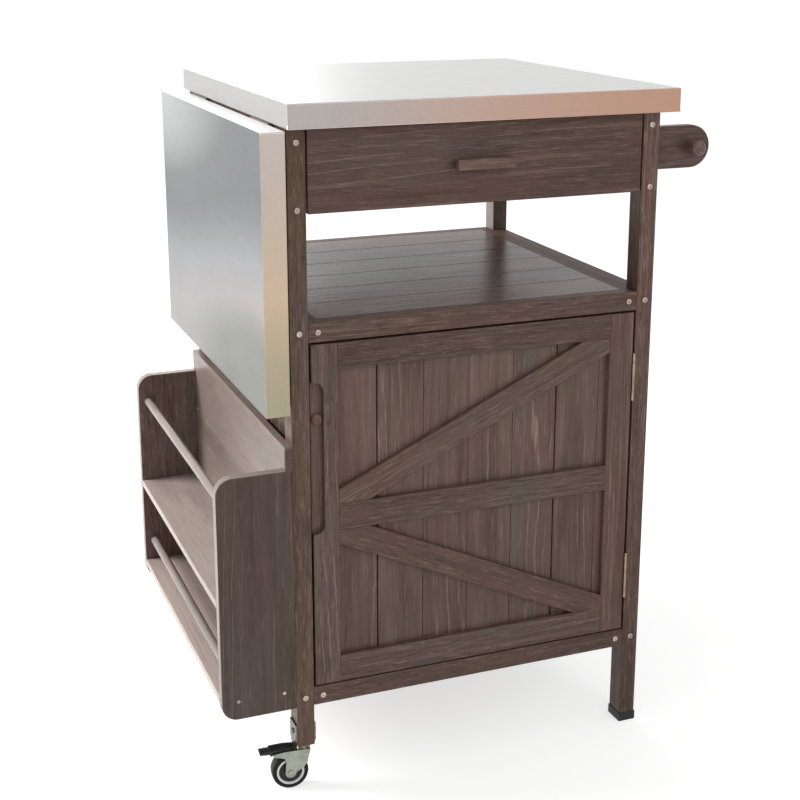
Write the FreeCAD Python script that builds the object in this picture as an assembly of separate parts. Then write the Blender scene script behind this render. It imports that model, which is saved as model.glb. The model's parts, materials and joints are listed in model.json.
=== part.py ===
"""Grill cart with a drawer, a cabinet, a drop leaf and a side rack: one STEP file per piece."""

import FreeCAD
import Part
import math
import os

# Driving dimensions in millimetres. While building, x runs right, y runs back, z runs up from
# the floor, and the front left leg's outer front corner is at x = 0, y = 0.

# Leg frame
frame_w = 514.0
frame_d = 492.0
leg_w = 24.0
leg_d = 30.0
leg_top = 890.0
caster_lift = 64.0
wood_ease = 1.2
flat_limit = 0.01
cut_extra = 1.0

# Foot caps under the two legs that have no caster
cap_floor = 3.0
cap_wall = 1.0
cap_height = 13.0
cap_ease = 0.6

# Rails and boards of the two decks: the cabinet floor and the open shelf
floor_top = 148.0
shelf_top = 647.0
rail_h = 26.0
rail_t = 18.0
side_rail_inset = 2.0
batten_w = 25.0
deck_t = 12.0
deck_rabbet = 8.0
deck_board_count = 6
board_gap = 0.4
board_chamfer = 0.8

# Cabinet walls
wall_t = 12.0
wall_inset = 6.0
side_board_count = 7
back_board_count = 7
back_inset = 4.0

# Top rails that carry the worktop
apron_h = 108.0
stretcher_w = 40.0
stretcher_t = 18.0

# Worktop and drop leaf: a wooden core in a folded steel skin
slab_t = 30.0
skin_t = 1.0
skin_corner_r = 2.5
skin_edge_r = 1.2
top_over_left = 4.0
top_over_right = 18.0
top_over_front = 20.0
top_over_rear = 21.0
leaf_len = 353.0
leaf_gap = 8.0
leaf_top_drop = 2.0
leaf_end_gap = 1.0

# Leaf hinges
leaf_hinge_len = 80.0
leaf_hinge_from_end = 70.0
leaf_plate_t = 1.2
leaf_plate_h = 30.0
leaf_knuckle_r = 2.2
leaf_knuckle_count = 5
leaf_tongue_wall = 0.4
leaf_screw_inset = 16.0
leaf_screw_drop = 18.0
hinge_pin_r = 1.0
pin_clearance = 0.05
knuckle_end_gap = 0.3
knuckle_clearance = 0.4

# Drawer
drawer_side_gap = 2.0
drawer_bottom_gap = 1.0
drawer_top_gap = 3.0
drawer_front_t = 15.0
drawer_front_ease = 2.0
drawer_box_t = 12.0
drawer_box_h = 76.0
drawer_back_gap = 39.0
drawer_box_lift = 10.0
drawer_panel_t = 5.0
drawer_panel_lift = 6.0
groove_depth = 5.0
groove_clearance = 0.1
stretcher_front_gap = 2.0
slide_space = 13.0
slide_h = 26.0
slide_wall = 1.2
slide_end_gap = 18.0
slide_clearance = 0.3
slide_lip = 9.5

# Drawer pull
pull_len = 80.0
pull_h = 14.0
pull_t = 12.0
pull_neck = 7.0
pull_neck_h = 8.0
pull_neck_inset = 5.0
pull_neck_sink = 1.0
pull_ease = 2.5

# Door
door_side_gap = 3.0
door_bottom_gap = 2.0
door_top_gap = 3.0
door_frame_t = 9.0
door_board_t = 8.5
stile_w = 35.0
door_top_rail_h = 34.0
door_mid_rail_h = 36.0
door_bottom_rail_h = 37.0
brace_w = 35.0
door_first_joint = 26.3
door_board_w = 64.6
open_joints = (1, 5)
open_joint_gap = 1.8
recess_depth = 16.0
recess_drop = 50.0
recess_len = 204.0
recess_corner_r = 12.0
knob_r = 7.5
knob_h = 7.0
knob_neck_r = 4.0
knob_neck_h = 2.0
knob_rim_h = 1.0
knob_drop = 50.0
knob_from_edge = 8.3

# Door hinges and catch
door_hinge_len = 68.0
door_hinge_bottom_inset = 49.0
door_hinge_top_inset = 57.0
door_knuckle_r = 2.0
door_knuckle_count = 5
door_plate_t = 1.1
door_plate_w = 16.0
door_pin_forward = 1.6
cleat_w = 18.0
cleat_drop = 12.0
catch_len = 45.0
catch_h = 14.0
catch_t = 15.0
catch_ease = 1.0
catch_from_side = 40.0
catch_plate_t = 1.0
catch_gap = 0.3

# Handle on the right side
arm_h = 57.0
arm_reach = 82.0
arm_t = 15.0
arm_inset = 7.5
arm_drop = 23.0
bar_r = 10.0
bar_stick_out = 22.0
bar_chamfer = 1.5
bar_clearance = 0.05

# Rack on the left side
rack_depth = 101.0
rack_low = 122.0
rack_leaf_gap = 47.0
rack_head_h = 31.5
rack_side_t = 14.0
rack_back_t = 10.0
rack_ear_r = 6.0
rack_corner_r = 22.0
rack_shelf_t = 10.0
rack_shelf_rises = (31.0, 165.0)
rack_rod_r = 6.0
rack_rod_rise = 32.0
rack_rod_drop = 41.5
rack_rod_inset = 15.0
rack_rod_sink = 7.0
rack_screw_from_edge = 22.0
rack_screw_from_back = 7.0
rack_hang_inset = 8.0
rack_hang_rises = (60.0, 110.0)

# Casters under the two left legs
wheel_r = 25.0
wheel_w = 18.0
rim_r = 18.7
rim_lip = 2.7
hub_r = 6.5
hub_gap = 0.4
tyre_shoulder_r = 2.5
axle_r = 3.0
axle_head_r = 4.0
axle_head_h = 1.8
wheel_trail = 19.5
wheel_yaw = 6.0
fork_t = 1.7
fork_gap = 1.0
fork_top = 57.0
fork_plate_t = 2.5
fork_back = 7.5
fork_eye_r = 7.5
fork_nose = (25.0, 2.3)
fork_nose_foot = (22.0, 6.0)
fork_throat = (8.0, 9.7)
fork_throat_foot = (6.0, 15.3)
fork_heel = (2.9, 30.0)
fork_heel_top = (-3.3, 37.8)
race_r = 9.5
kingpin_r = 3.2
kingpin_head_r = 5.2
kingpin_head_h = 1.5
bracket_t = 2.0
bracket_w = 26.0
bracket_h = 33.0
bracket_taper = 6.0
bracket_taper_h = 9.6
bolt_rise = 18.0
nut_h = 3.0
brake_w = 17.0
brake_tip_w = 14.0
brake_t = 8.0
brake_rise = 3.0
brake_rear = 2.5
brake_front = 28.0
brake_reach = 41.5
brake_ease = 0.7
brake_pin_r = 1.2
brake_pin_x = 7.5
brake_pin_drop = 2.5
brake_heel_gap = 1.5
brake_heel_len = 3.0
brake_heel_rise = 1.5
brake_heel_drop = 1.0
brake_belly = 0.5
brake_nose_slope = 1.0
brake_nose_drop = 1.2
brake_tip_sink = 3.0
brake_tip_slope = 1.5
brake_tip_drop = 3.2
brake_tip_step = 1.8

# Screws: head radius, head height, shank radius
pan_screw = (4.0, 1.7, 2.0)
small_screw = (2.4, 1.0, 1.3)
head_round = 0.6
cross_len = 1.3
cross_w = 0.24
cross_depth = 0.6
leg_screw_len = 50.0
rail_screw_len = 40.0
rack_screw_len = 34.0
rack_hang_len = 28.0
hinge_screw_len = 14.0
apron_screw_drops = (18.5, 101.0)

# Places worked out from the driving dimensions
inner_left = leg_w
inner_right = frame_w - leg_w
inner_front = leg_d
inner_rear = frame_d - leg_d
mid_x = frame_w / 2
apron_low = leg_top - apron_h
slab_top = leg_top + slab_t
door_x = (inner_left + door_side_gap, inner_right - door_side_gap)
door_z = (floor_top + door_bottom_gap, shelf_top - rail_h - door_top_gap)
door_back = door_frame_t + door_board_t
door_hinge_lows = (door_z[0] + door_hinge_bottom_inset, door_z[1] - door_hinge_top_inset - door_hinge_len)
recess_high = door_z[1] - recess_drop
recess_low = recess_high - recess_len
leaf_face = -leaf_gap
leaf_top = leg_top - leaf_top_drop
rack_back_top = leaf_top - leaf_len - rack_leaf_gap
rack_side_top = rack_back_top - rack_head_h
rack_shelf_tops = [rack_low + rise for rise in rack_shelf_rises]
rack_rod_heights = [rack_shelf_tops[0] + rack_rod_rise, rack_side_top - rack_rod_drop]
leaf_pin_x = (-leaf_gap - top_over_left - leaf_end_gap + leaf_top_drop) / 2
leaf_pin_z = leg_top - (leaf_pin_x - leaf_face)
drawer_box_end = frame_d - rail_t - drawer_back_gap
bolt_height = caster_lift + bolt_rise
leg_screw_x = leg_w / 2
apron_screw_heights = [leg_top - drop for drop in apron_screw_drops]
rail_screw_heights = [shelf_top - rail_h / 2, floor_top - rail_h / 2]
rail_screw_x = leg_w + batten_w / 2
origin_x = (frame_w + arm_reach - rack_depth) / 2
origin_y = (frame_d + top_over_rear - top_over_front) / 2


def vec(x, y, z):
    return FreeCAD.Vector(x, y, z)


def block(x, y, z, ease=0.0):
    """A box between low and high values on each axis, its edges rounded by ease."""
    box = Part.makeBox(x[1] - x[0], y[1] - y[0], z[1] - z[0], vec(x[0], y[0], z[0]))
    return box.makeFillet(ease, box.Edges) if ease else box


def timber(x, y, z):
    return block(x, y, z, wood_ease)


def cylinder(at, up, radius, length):
    return Part.makeCylinder(radius, length, at, up)


def prism(points, thickness, arcs=()):
    """A flat outline of (x, z) points pushed back along y; arcs maps a start index to its middle."""
    edges = []
    for index, point in enumerate(points):
        start = vec(point[0], 0, point[1])
        after = points[(index + 1) % len(points)]
        end = vec(after[0], 0, after[1])
        if index in dict(arcs):
            middle = dict(arcs)[index]
            edges.append(Part.Arc(start, vec(middle[0], 0, middle[1]), end).toShape())
        else:
            edges.append(Part.LineSegment(start, end).toShape())
    return Part.Face(Part.Wire(edges)).extrude(vec(0, thickness, 0))


def moved(shape, x=0.0, y=0.0, z=0.0):
    copy = shape.copy()
    copy.translate(vec(x, y, z))
    return copy


def across(shape):
    """The mirror image on the rear half of the frame."""
    return shape.mirror(vec(0, frame_d / 2, 0), vec(0, 1, 0))


def sideways(shape):
    """The mirror image on the right half of the frame."""
    return shape.mirror(vec(mid_x, 0, 0), vec(1, 0, 0))


def edges_along(shape, direction, test):
    """Straight edges parallel to direction whose middle passes the test."""
    found = []
    for edge in shape.Edges:
        line = edge.lastVertex().Point - edge.firstVertex().Point
        if line.Length == 0 or line.normalize().cross(direction).Length > flat_limit:
            continue
        if test(edge.CenterOfMass):
            found.append(edge)
    return found


def screw(at, up, size, length):
    """A cross-head screw whose head sits on the point at and points along up."""
    head_r, head_h, shank_r = size
    head = cylinder(vec(0, 0, 0), vec(0, 0, 1), head_r, head_h)
    rim = [edge for edge in head.Edges if edge.CenterOfMass.z > head_h / 2 and len(edge.Vertexes) == 1]
    head = head.makeFillet(head_h * head_round, rim)
    half = head_r * cross_len / 2
    width = head_r * cross_w / 2
    low = head_h * (1 - cross_depth)
    for bar in (((-half, half), (-width, width)), ((-width, width), (-half, half))):
        head = head.cut(block(bar[0], bar[1], (low, head_h + cut_extra)))
    whole = head.fuse(cylinder(vec(0, 0, -length), vec(0, 0, 1), shank_r, length))
    whole.Placement = FreeCAD.Placement(at, FreeCAD.Rotation(vec(0, 0, 1), up))
    return whole


def bore(at, up, size, length):
    return cylinder(at - up * length, up, size[2], length + flat_limit)


def drilled(shape, bores):
    """The shape with every bore that reaches it cut out."""
    for hole in bores:
        if hole.BoundBox.intersect(shape.BoundBox):
            shape = shape.cut(hole)
    return shape


def frame_screw_seats():
    """Seat point, head direction and length of each screw in the front and rear of the frame."""
    seats = []
    for face_y, up in ((0, vec(0, -1, 0)), (frame_d, vec(0, 1, 0))):
        for x in (leg_screw_x, frame_w - leg_screw_x):
            for z in apron_screw_heights + rail_screw_heights:
                seats.append((vec(x, face_y, z), up, leg_screw_len))
        for x in (rail_screw_x, frame_w - rail_screw_x):
            for z in rail_screw_heights:
                seats.append((vec(x, face_y, z), up, rail_screw_len))
    return seats


def rack_screw_seats():
    """Screws through the rack's ends into the lower shelf, and through its back into the legs."""
    seats = []
    shelf_z = rack_shelf_tops[0] - rack_shelf_t / 2
    for face_y, up in ((0, vec(0, -1, 0)), (frame_d, vec(0, 1, 0))):
        for x in (-rack_depth + rack_screw_from_edge, -rack_back_t - rack_screw_from_back):
            seats.append((vec(x, face_y, shelf_z), up, rack_screw_len))
    hang_y = rack_side_t + rack_hang_inset
    for y in (hang_y, frame_d - hang_y):
        for top, rise in zip(rack_shelf_tops, rack_hang_rises):
            seats.append((vec(-rack_back_t, y, top + rise), vec(-1, 0, 0), rack_hang_len))
    return seats


def bores_of(seats, size):
    return [bore(at, up, size, length) for at, up, length in seats]


def row_of_boards(start, end, count, across_x, low, high, thickness, gap=board_gap):
    """Upright boards side by side between start and end; thickness is the span of their flat side."""
    width = (end - start) / count
    boards = []
    for index in range(count):
        span = (start + index * width + gap / 2, start + (index + 1) * width - gap / 2)
        if across_x:
            board = block(span, thickness, (low, high))
        else:
            board = block(thickness, span, (low, high))
        boards.append(board.makeChamfer(board_chamfer, edges_along(board, vec(0, 0, 1), lambda p: True)))
    return boards


def legs(bores):
    foot_left = caster_lift
    foot_right = cap_floor
    front_left = timber((0, leg_w), (0, leg_d), (foot_left, leg_top))
    front_right = timber((inner_right, frame_w), (0, leg_d), (foot_right, leg_top))
    caps = []
    for y in (0, inner_rear):
        outer = block(
            (inner_right - cap_wall, frame_w + cap_wall),
            (y - cap_wall, y + leg_d + cap_wall),
            (0, cap_height),
            cap_ease,
        )
        foot = block((inner_right, frame_w), (y, y + leg_d), (cap_floor, cap_height + cut_extra))
        caps.append(outer.cut(foot))
    return {
        "leg_front_left": [drilled(front_left, bores)],
        "leg_front_right": [drilled(front_right, bores)],
        "leg_rear_left": [drilled(across(front_left), bores)],
        "leg_rear_right": [drilled(across(front_right), bores)],
        "foot_caps": caps,
    }


def deck(name, top, bores):
    """One level of rails, battens and boards with its upper surface at top."""
    height = (top - rail_h, top)
    front = timber((inner_left, inner_right), (0, rail_t), height)
    side = timber((side_rail_inset, leg_w), (inner_front, inner_rear), height)
    batten = block((inner_left, inner_left + batten_w), (rail_t, frame_d - rail_t), height)
    ledge = inner_left + batten_w - deck_rabbet
    batten = batten.cut(block((ledge, ledge + batten_w), (0, frame_d), (top - deck_t, top + cut_extra)))
    boards = []
    width = (frame_d - 2 * rail_t) / deck_board_count
    for index in range(deck_board_count):
        low = rail_t + index * width + board_gap / 2
        board = block((ledge, frame_w - ledge), (low, low + width - board_gap), (top - deck_t, top))
        upper = edges_along(board, vec(1, 0, 0), lambda p: p.z > top - deck_t / 2)
        boards.append(board.makeChamfer(board_chamfer, upper))
    return {
        name + "_rail_front": [drilled(front, bores)],
        name + "_rail_rear": [drilled(across(front), bores)],
        "side_rails": [drilled(side, bores), drilled(sideways(side), bores)],
        "deck_battens": [drilled(batten, bores), drilled(sideways(batten), bores)],
        name + "_boards": boards,
    }


def cabinet_walls():
    height = (floor_top, shelf_top - rail_h)
    flat = (side_rail_inset + wall_inset, side_rail_inset + wall_inset + wall_t)
    left = row_of_boards(inner_front, inner_rear, side_board_count, False, height[0], height[1], flat)
    back_flat = (frame_d - back_inset - wall_t, frame_d - back_inset)
    back = row_of_boards(inner_left, inner_right, back_board_count, True, height[0], height[1], back_flat)
    return {
        "side_boards_left": left,
        "side_boards_right": [sideways(board) for board in left],
        "back_boards": back,
    }


def top_rails(bores):
    height = (apron_low, leg_top)
    side = timber((0, leg_w), (inner_front, inner_rear), height)
    rear = timber((inner_left, inner_right), (frame_d - rail_t, frame_d), height)
    front_y = drawer_front_t + stretcher_front_gap
    stretcher = timber(
        (inner_left, inner_right), (front_y, front_y + stretcher_w), (leg_top - stretcher_t, leg_top)
    )
    return {
        "top_side_rails": [drilled(side, bores), drilled(sideways(side), bores)],
        "top_cross_rails": [rear, stretcher],
    }


def steel_slab(x, y, z, open_side):
    """A steel skin folded over a wooden core, left open on the face that open_side points at."""
    outer = block(x, y, z)
    lip = vec(*open_side)
    corners = edges_along(outer, lip, lambda p: True)
    outer = outer.makeFillet(skin_corner_r, corners)
    middle = outer.BoundBox.Center
    reach = slab_t / 2 - skin_corner_r
    far = [edge for edge in outer.Edges if (middle - edge.CenterOfMass).dot(lip) > reach]
    outer = outer.makeFillet(skin_edge_r, far)
    low = vec(x[0], y[0], z[0]) + vec(skin_t, skin_t, skin_t)
    high = vec(x[1], y[1], z[1]) - vec(skin_t, skin_t, skin_t)
    for axis in range(3):
        if open_side[axis] > 0:
            high[axis] += skin_t
        if open_side[axis] < 0:
            low[axis] -= skin_t
    core = block((low.x, high.x), (low.y, high.y), (low.z, high.z))
    core = core.makeFillet(skin_corner_r - skin_t, edges_along(core, lip, lambda p: True))
    return core, outer.cut(core)


def worktop():
    x = (-top_over_left, frame_w + top_over_right)
    y = (-top_over_front, frame_d + top_over_rear)
    core, skin = steel_slab(x, y, (leg_top, slab_top), (0, 0, -1))
    return {"worktop_core": [core], "worktop_skin": [skin]}


def knuckles(start, along, length, count, outer_r, bore_r, first):
    """Every second tube of a hinge barrel, from the index first."""
    step = length / count
    tubes = []
    for index in range(first, count, 2):
        low = start + along * (index * step + knuckle_end_gap / 2)
        span = step - knuckle_end_gap
        tube = cylinder(low, along, outer_r, span)
        tubes.append(tube.cut(cylinder(low - along * cut_extra, along, bore_r, span + 2 * cut_extra)))
    return tubes


def fused(pieces):
    whole = pieces[0].fuse(pieces[1:])
    return whole.removeSplitter()


def leaf_hinge(y_low, leaf_bores, frame_bores):
    """One drop-leaf hinge: the plate on the frame with its pin, and the plate on the leaf."""
    start = vec(leaf_pin_x, y_low, leaf_pin_z)
    along = vec(0, 1, 0)
    y = (y_low, y_low + leaf_hinge_len)
    low = leaf_pin_z - leaf_plate_h
    half = leaf_plate_t / 2
    web_end = leaf_pin_x + leaf_knuckle_r + knuckle_clearance
    fixed = [
        block((-leaf_plate_t, 0), y, (low, leaf_pin_z + half)),
        block((web_end, 0), y, (leaf_pin_z - half, leaf_pin_z + half)),
    ]
    moving = [
        block(
            (leaf_face, leaf_face + leaf_plate_t),
            y,
            (low, leaf_pin_z - leaf_knuckle_r - knuckle_clearance),
        )
    ]
    step = leaf_hinge_len / leaf_knuckle_count
    tongue_end = hinge_pin_r + pin_clearance + leaf_tongue_wall
    for index in range(leaf_knuckle_count):
        span_low = y_low + index * step + knuckle_end_gap / 2
        span = (span_low, span_low + step - knuckle_end_gap)
        if index % 2:
            moving.append(block((leaf_face, leaf_face + leaf_plate_t), span, (low, leaf_pin_z)))
        else:
            fixed.append(
                block((leaf_pin_x + tongue_end, 0), span, (leaf_pin_z - half, leaf_pin_z + half))
            )
    fixed += knuckles(start, along, leaf_hinge_len, leaf_knuckle_count, leaf_knuckle_r, hinge_pin_r, 0)
    loose_r = hinge_pin_r + pin_clearance
    moving += knuckles(start, along, leaf_hinge_len, leaf_knuckle_count, leaf_knuckle_r, loose_r, 1)
    pin = cylinder(start, along, hinge_pin_r, leaf_hinge_len)
    moving_hole = cylinder(start - along * cut_extra, along, loose_r, leaf_hinge_len + 2 * cut_extra)
    fixed_plate = drilled(fused(fixed).cut(pin), frame_bores)
    moving_plate = drilled(fused(moving).cut(moving_hole), leaf_bores)
    return fixed_plate, moving_plate, pin


def leaf_hinge_lows():
    front = leaf_hinge_from_end - top_over_front
    rear = frame_d + top_over_rear - leaf_hinge_from_end - leaf_hinge_len
    return (front, rear)


def leaf_hinge_seats(face_x, up):
    """Four screw seats on the plates of the leaf hinges."""
    seats = []
    for low in leaf_hinge_lows():
        for y in (low + leaf_screw_inset, low + leaf_hinge_len - leaf_screw_inset):
            seats.append((vec(face_x, y, leaf_pin_z - leaf_screw_drop), up, hinge_screw_len))
    return seats


def drop_leaf():
    x = (leaf_face - slab_t, leaf_face)
    y = (-top_over_front, frame_d + top_over_rear)
    core, skin = steel_slab(x, y, (leaf_top - leaf_len, leaf_top), (1, 0, 0))
    leaf_seats = leaf_hinge_seats(leaf_face + leaf_plate_t, vec(1, 0, 0))
    frame_seats = leaf_hinge_seats(-leaf_plate_t, vec(-1, 0, 0))
    leaf_bores = bores_of(leaf_seats, small_screw)
    frame_bores = bores_of(frame_seats, small_screw)
    fixed = []
    moving = []
    for low in leaf_hinge_lows():
        plate, leaf_plate, pin = leaf_hinge(low, leaf_bores, frame_bores)
        fixed += [plate, pin]
        moving.append(leaf_plate)
    fixed += [screw(at, up, small_screw, length) for at, up, length in frame_seats]
    moving += [screw(at, up, small_screw, length) for at, up, length in leaf_seats]
    return {
        "leaf_core": [drilled(core, leaf_bores)],
        "leaf_skin": [skin],
        "leaf_hinge_frame_plates": fixed,
        "leaf_hinge_leaf_plates": moving,
    }


def drawer():
    front_x = (inner_left + drawer_side_gap, inner_right - drawer_side_gap)
    front_z = (apron_low + drawer_bottom_gap, leg_top - drawer_top_gap)
    front = block(front_x, (0, drawer_front_t), front_z, drawer_front_ease)
    box_low = front_z[0] + drawer_box_lift
    box_z = (box_low, box_low + drawer_box_h)
    box_y = (drawer_front_t, drawer_box_end)
    box_x = (inner_left + slide_space, inner_right - slide_space)
    left = block((box_x[0], box_x[0] + drawer_box_t), box_y, box_z)
    rear = block(
        (box_x[0] + drawer_box_t, box_x[1] - drawer_box_t), (box_y[1] - drawer_box_t, box_y[1]), box_z
    )
    panel_z = (box_low + drawer_panel_lift, box_low + drawer_panel_lift + drawer_panel_t)
    panel_x = (box_x[0] + drawer_box_t - groove_depth, box_x[1] - drawer_box_t + groove_depth)
    panel_y = (drawer_front_t - groove_depth, box_y[1] - drawer_box_t + groove_depth)
    panel = block(panel_x, panel_y, panel_z)
    groove = block(panel_x, panel_y, (panel_z[0] - groove_clearance, panel_z[1] + groove_clearance))
    pull_z = (front_z[0] + front_z[1]) / 2
    grip = block(
        (mid_x - pull_len / 2, mid_x + pull_len / 2),
        (-pull_neck - pull_t, -pull_neck),
        (pull_z - pull_h / 2, pull_z + pull_h / 2),
        pull_ease,
    )
    neck = block(
        (mid_x - pull_len / 2 + pull_neck_inset, mid_x + pull_len / 2 - pull_neck_inset),
        (-pull_neck - pull_neck_sink, 0),
        (pull_z - pull_neck_h / 2, pull_z + pull_neck_h / 2),
    )
    return {
        "drawer_front": [front.cut(groove)],
        "drawer_box": [left.cut(groove), sideways(left).cut(groove), rear.cut(groove)],
        "drawer_bottom": [panel],
        "drawer_pull": [fused([grip, neck])],
    }


def channel(x_web, x_open, y, z, wall):
    """A U section along y with its web at x_web, open towards x_open."""
    side = 1 if x_open > x_web else -1
    outer = block((min(x_web, x_open), max(x_web, x_open)), y, z)
    inside = sorted((x_web + side * wall, x_open + side * cut_extra))
    length = (y[0] - cut_extra, y[1] + cut_extra)
    return outer.cut(block(inside, length, (z[0] + wall, z[1] - wall)))


def drawer_slides():
    mid_z = apron_low + drawer_bottom_gap + drawer_box_lift + drawer_box_h / 2
    y_low = drawer_front_t + stretcher_front_gap
    y = (y_low, drawer_box_end - slide_end_gap)
    z = (mid_z - slide_h / 2, mid_z + slide_h / 2)
    runner = channel(inner_left, inner_left + slide_lip, y, z, slide_wall)
    shrink = slide_wall + slide_clearance
    box_side = inner_left + slide_space
    inner_end = inner_left + slide_wall + slide_clearance
    slide = channel(box_side, inner_end, y, (z[0] + shrink, z[1] - shrink), slide_wall)
    return {
        "drawer_runners": [runner, sideways(runner)],
        "drawer_slides": [slide, sideways(slide)],
    }


def brace(opening_x, opening_z, rising):
    """A diagonal board from corner to corner of an opening, trimmed to it."""
    run = opening_x[1] - opening_x[0]
    rise = opening_z[1] - opening_z[0]
    length = math.hypot(run, rise)
    board = block((-length, length), (0, door_frame_t), (-brace_w / 2, brace_w / 2))
    angle = math.degrees(math.atan2(rise, run))
    board.rotate(vec(0, 0, 0), vec(0, -1, 0), angle if rising else -angle)
    board.translate(vec(sum(opening_x) / 2, 0, sum(opening_z) / 2))
    trimmed = board.common(block(opening_x, (0, door_frame_t), opening_z))
    front = [edge for edge in trimmed.Edges if edge.BoundBox.YMax < door_frame_t / 2]
    return trimmed.makeChamfer(board_chamfer, front)


def eased_front(shape):
    front = [edge for edge in shape.Edges if edge.BoundBox.YMax < door_frame_t / 2]
    return shape.makeChamfer(board_chamfer, front)


def door_boards():
    joints = [door_x[0] + door_first_joint]
    while joints[-1] + door_board_w < door_x[1]:
        joints.append(joints[-1] + door_board_w)
    boards = []
    low = door_x[0]
    for index, joint in enumerate(joints + [door_x[1]]):
        gap = open_joint_gap if index in open_joints else board_gap
        high = joint - gap / 2 if joint < door_x[1] else joint
        board = block((low, high), (door_frame_t, door_back), door_z)
        edges = edges_along(board, vec(0, 0, 1), lambda p: p.y < door_back - board_chamfer)
        boards.append(board.makeChamfer(board_chamfer, edges))
        low = joint + gap / 2
    return boards


def knob():
    """A small turned knob standing in the recess, its dome towards the front."""
    dome_low = knob_neck_h + knob_rim_h
    rise = knob_h - dome_low
    dome_r = (knob_r ** 2 + rise ** 2) / (2 * rise)
    head = cylinder(vec(0, 0, knob_neck_h), vec(0, 0, 1), knob_r, knob_h)
    ball = Part.makeSphere(dome_r, vec(0, 0, knob_h - dome_r))
    neck = cylinder(vec(0, 0, 0), vec(0, 0, 1), knob_neck_r, knob_neck_h + knob_rim_h)
    whole = fused([head.common(ball), neck])
    at = vec(door_x[0] + knob_from_edge, door_frame_t, recess_high - knob_drop)
    whole.Placement = FreeCAD.Placement(at, FreeCAD.Rotation(vec(0, 0, 1), vec(0, -1, 0)))
    return whole


def stile_with_recess():
    """The left stile with the finger recess cut in from the door's free edge."""
    stile = block((door_x[0], door_x[0] + stile_w), (0, door_frame_t), door_z)
    end = door_x[0] + recess_depth
    turn = end - recess_corner_r
    diagonal = recess_corner_r * (1 - math.sqrt(0.5))
    low = recess_low
    high = recess_high
    outline = [
        (door_x[0] - cut_extra, low),
        (turn, low),
        (end, low + recess_corner_r),
        (end, high - recess_corner_r),
        (turn, high),
        (door_x[0] - cut_extra, high),
    ]
    bends = {1: (end - diagonal, low + diagonal), 3: (end - diagonal, high - diagonal)}
    return eased_front(stile.cut(prism(outline, door_frame_t, bends.items())))


def door_hinge_pins():
    return inner_right - door_side_gap / 2, -door_pin_forward


def door_hinge(low):
    """One butt hinge: the plate on the leg, the plate on the door, and the pin."""
    pin_x, pin_y = door_hinge_pins()
    start = vec(pin_x, pin_y, low)
    along = vec(0, 0, 1)
    z = (low, low + door_hinge_len)
    clear_y = pin_y + door_knuckle_r + knuckle_clearance
    frame_flat = (inner_right - door_plate_t, inner_right)
    door_flat = (door_x[1], door_x[1] + door_plate_t)
    fixed = [block(frame_flat, (clear_y, door_plate_w), z)]
    moving = [block(door_flat, (clear_y, door_plate_w), z)]
    step = door_hinge_len / door_knuckle_count
    for index in range(door_knuckle_count):
        span_low = low + index * step + knuckle_end_gap / 2
        span = (span_low, span_low + step - knuckle_end_gap)
        flat, plates = (door_flat, moving) if index % 2 else (frame_flat, fixed)
        plates.append(block(flat, (pin_y, clear_y), span))
    loose_r = hinge_pin_r + pin_clearance
    fixed += knuckles(start, along, door_hinge_len, door_knuckle_count, door_knuckle_r, hinge_pin_r, 0)
    moving += knuckles(start, along, door_hinge_len, door_knuckle_count, door_knuckle_r, loose_r, 1)
    pin = cylinder(start, along, hinge_pin_r, door_hinge_len)
    hole = cylinder(start - along * cut_extra, along, loose_r, door_hinge_len + 2 * cut_extra)
    return fused(fixed).cut(pin), fused(moving).cut(hole), pin


def door():
    rail_x = (door_x[0] + stile_w, door_x[1] - stile_w)
    flat = (0, door_frame_t)
    mid = sum(door_z) / 2
    bottom_rail = (door_z[0], door_z[0] + door_bottom_rail_h)
    mid_rail = (mid - door_mid_rail_h / 2, mid + door_mid_rail_h / 2)
    top_rail = (door_z[1] - door_top_rail_h, door_z[1])
    rails = [eased_front(block(rail_x, flat, z)) for z in (bottom_rail, mid_rail, top_rail)]
    right = eased_front(block((door_x[1] - stile_w, door_x[1]), flat, door_z))
    catch_x = (rail_x[0] + catch_from_side, rail_x[0] + catch_from_side + catch_len)
    catch_z = shelf_top - rail_h - cleat_drop - catch_h
    plate = block(catch_x, (door_back, door_back + catch_plate_t), (catch_z, catch_z + catch_h))
    magnet_y = door_back + catch_plate_t + catch_gap
    magnet = block(catch_x, (magnet_y, magnet_y + catch_t), (catch_z, catch_z + catch_h), catch_ease)
    cleat = timber(
        (inner_left + batten_w, inner_right - batten_w),
        (rail_t, rail_t + cleat_w),
        (shelf_top - rail_h - cleat_drop, shelf_top - deck_t),
    )
    fixed = []
    moving = []
    for low in door_hinge_lows:
        plates = door_hinge(low)
        fixed += [plates[0], plates[2]]
        moving.append(plates[1])
    return {
        "door_boards": door_boards(),
        "door_stile_left": [stile_with_recess()],
        "door_stile_right": [right],
        "door_rails": rails,
        "door_brace_upper": [brace(rail_x, (mid_rail[1], top_rail[0]), True)],
        "door_brace_lower": [brace(rail_x, (bottom_rail[1], mid_rail[0]), False)],
        "door_knob": [knob()],
        "door_catch_plate": [plate],
        "door_hinge_door_plates": moving,
        "door_hinge_frame_plates": fixed,
        "door_stop_cleat": [cleat],
        "door_catch_magnet": [magnet],
    }


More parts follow.
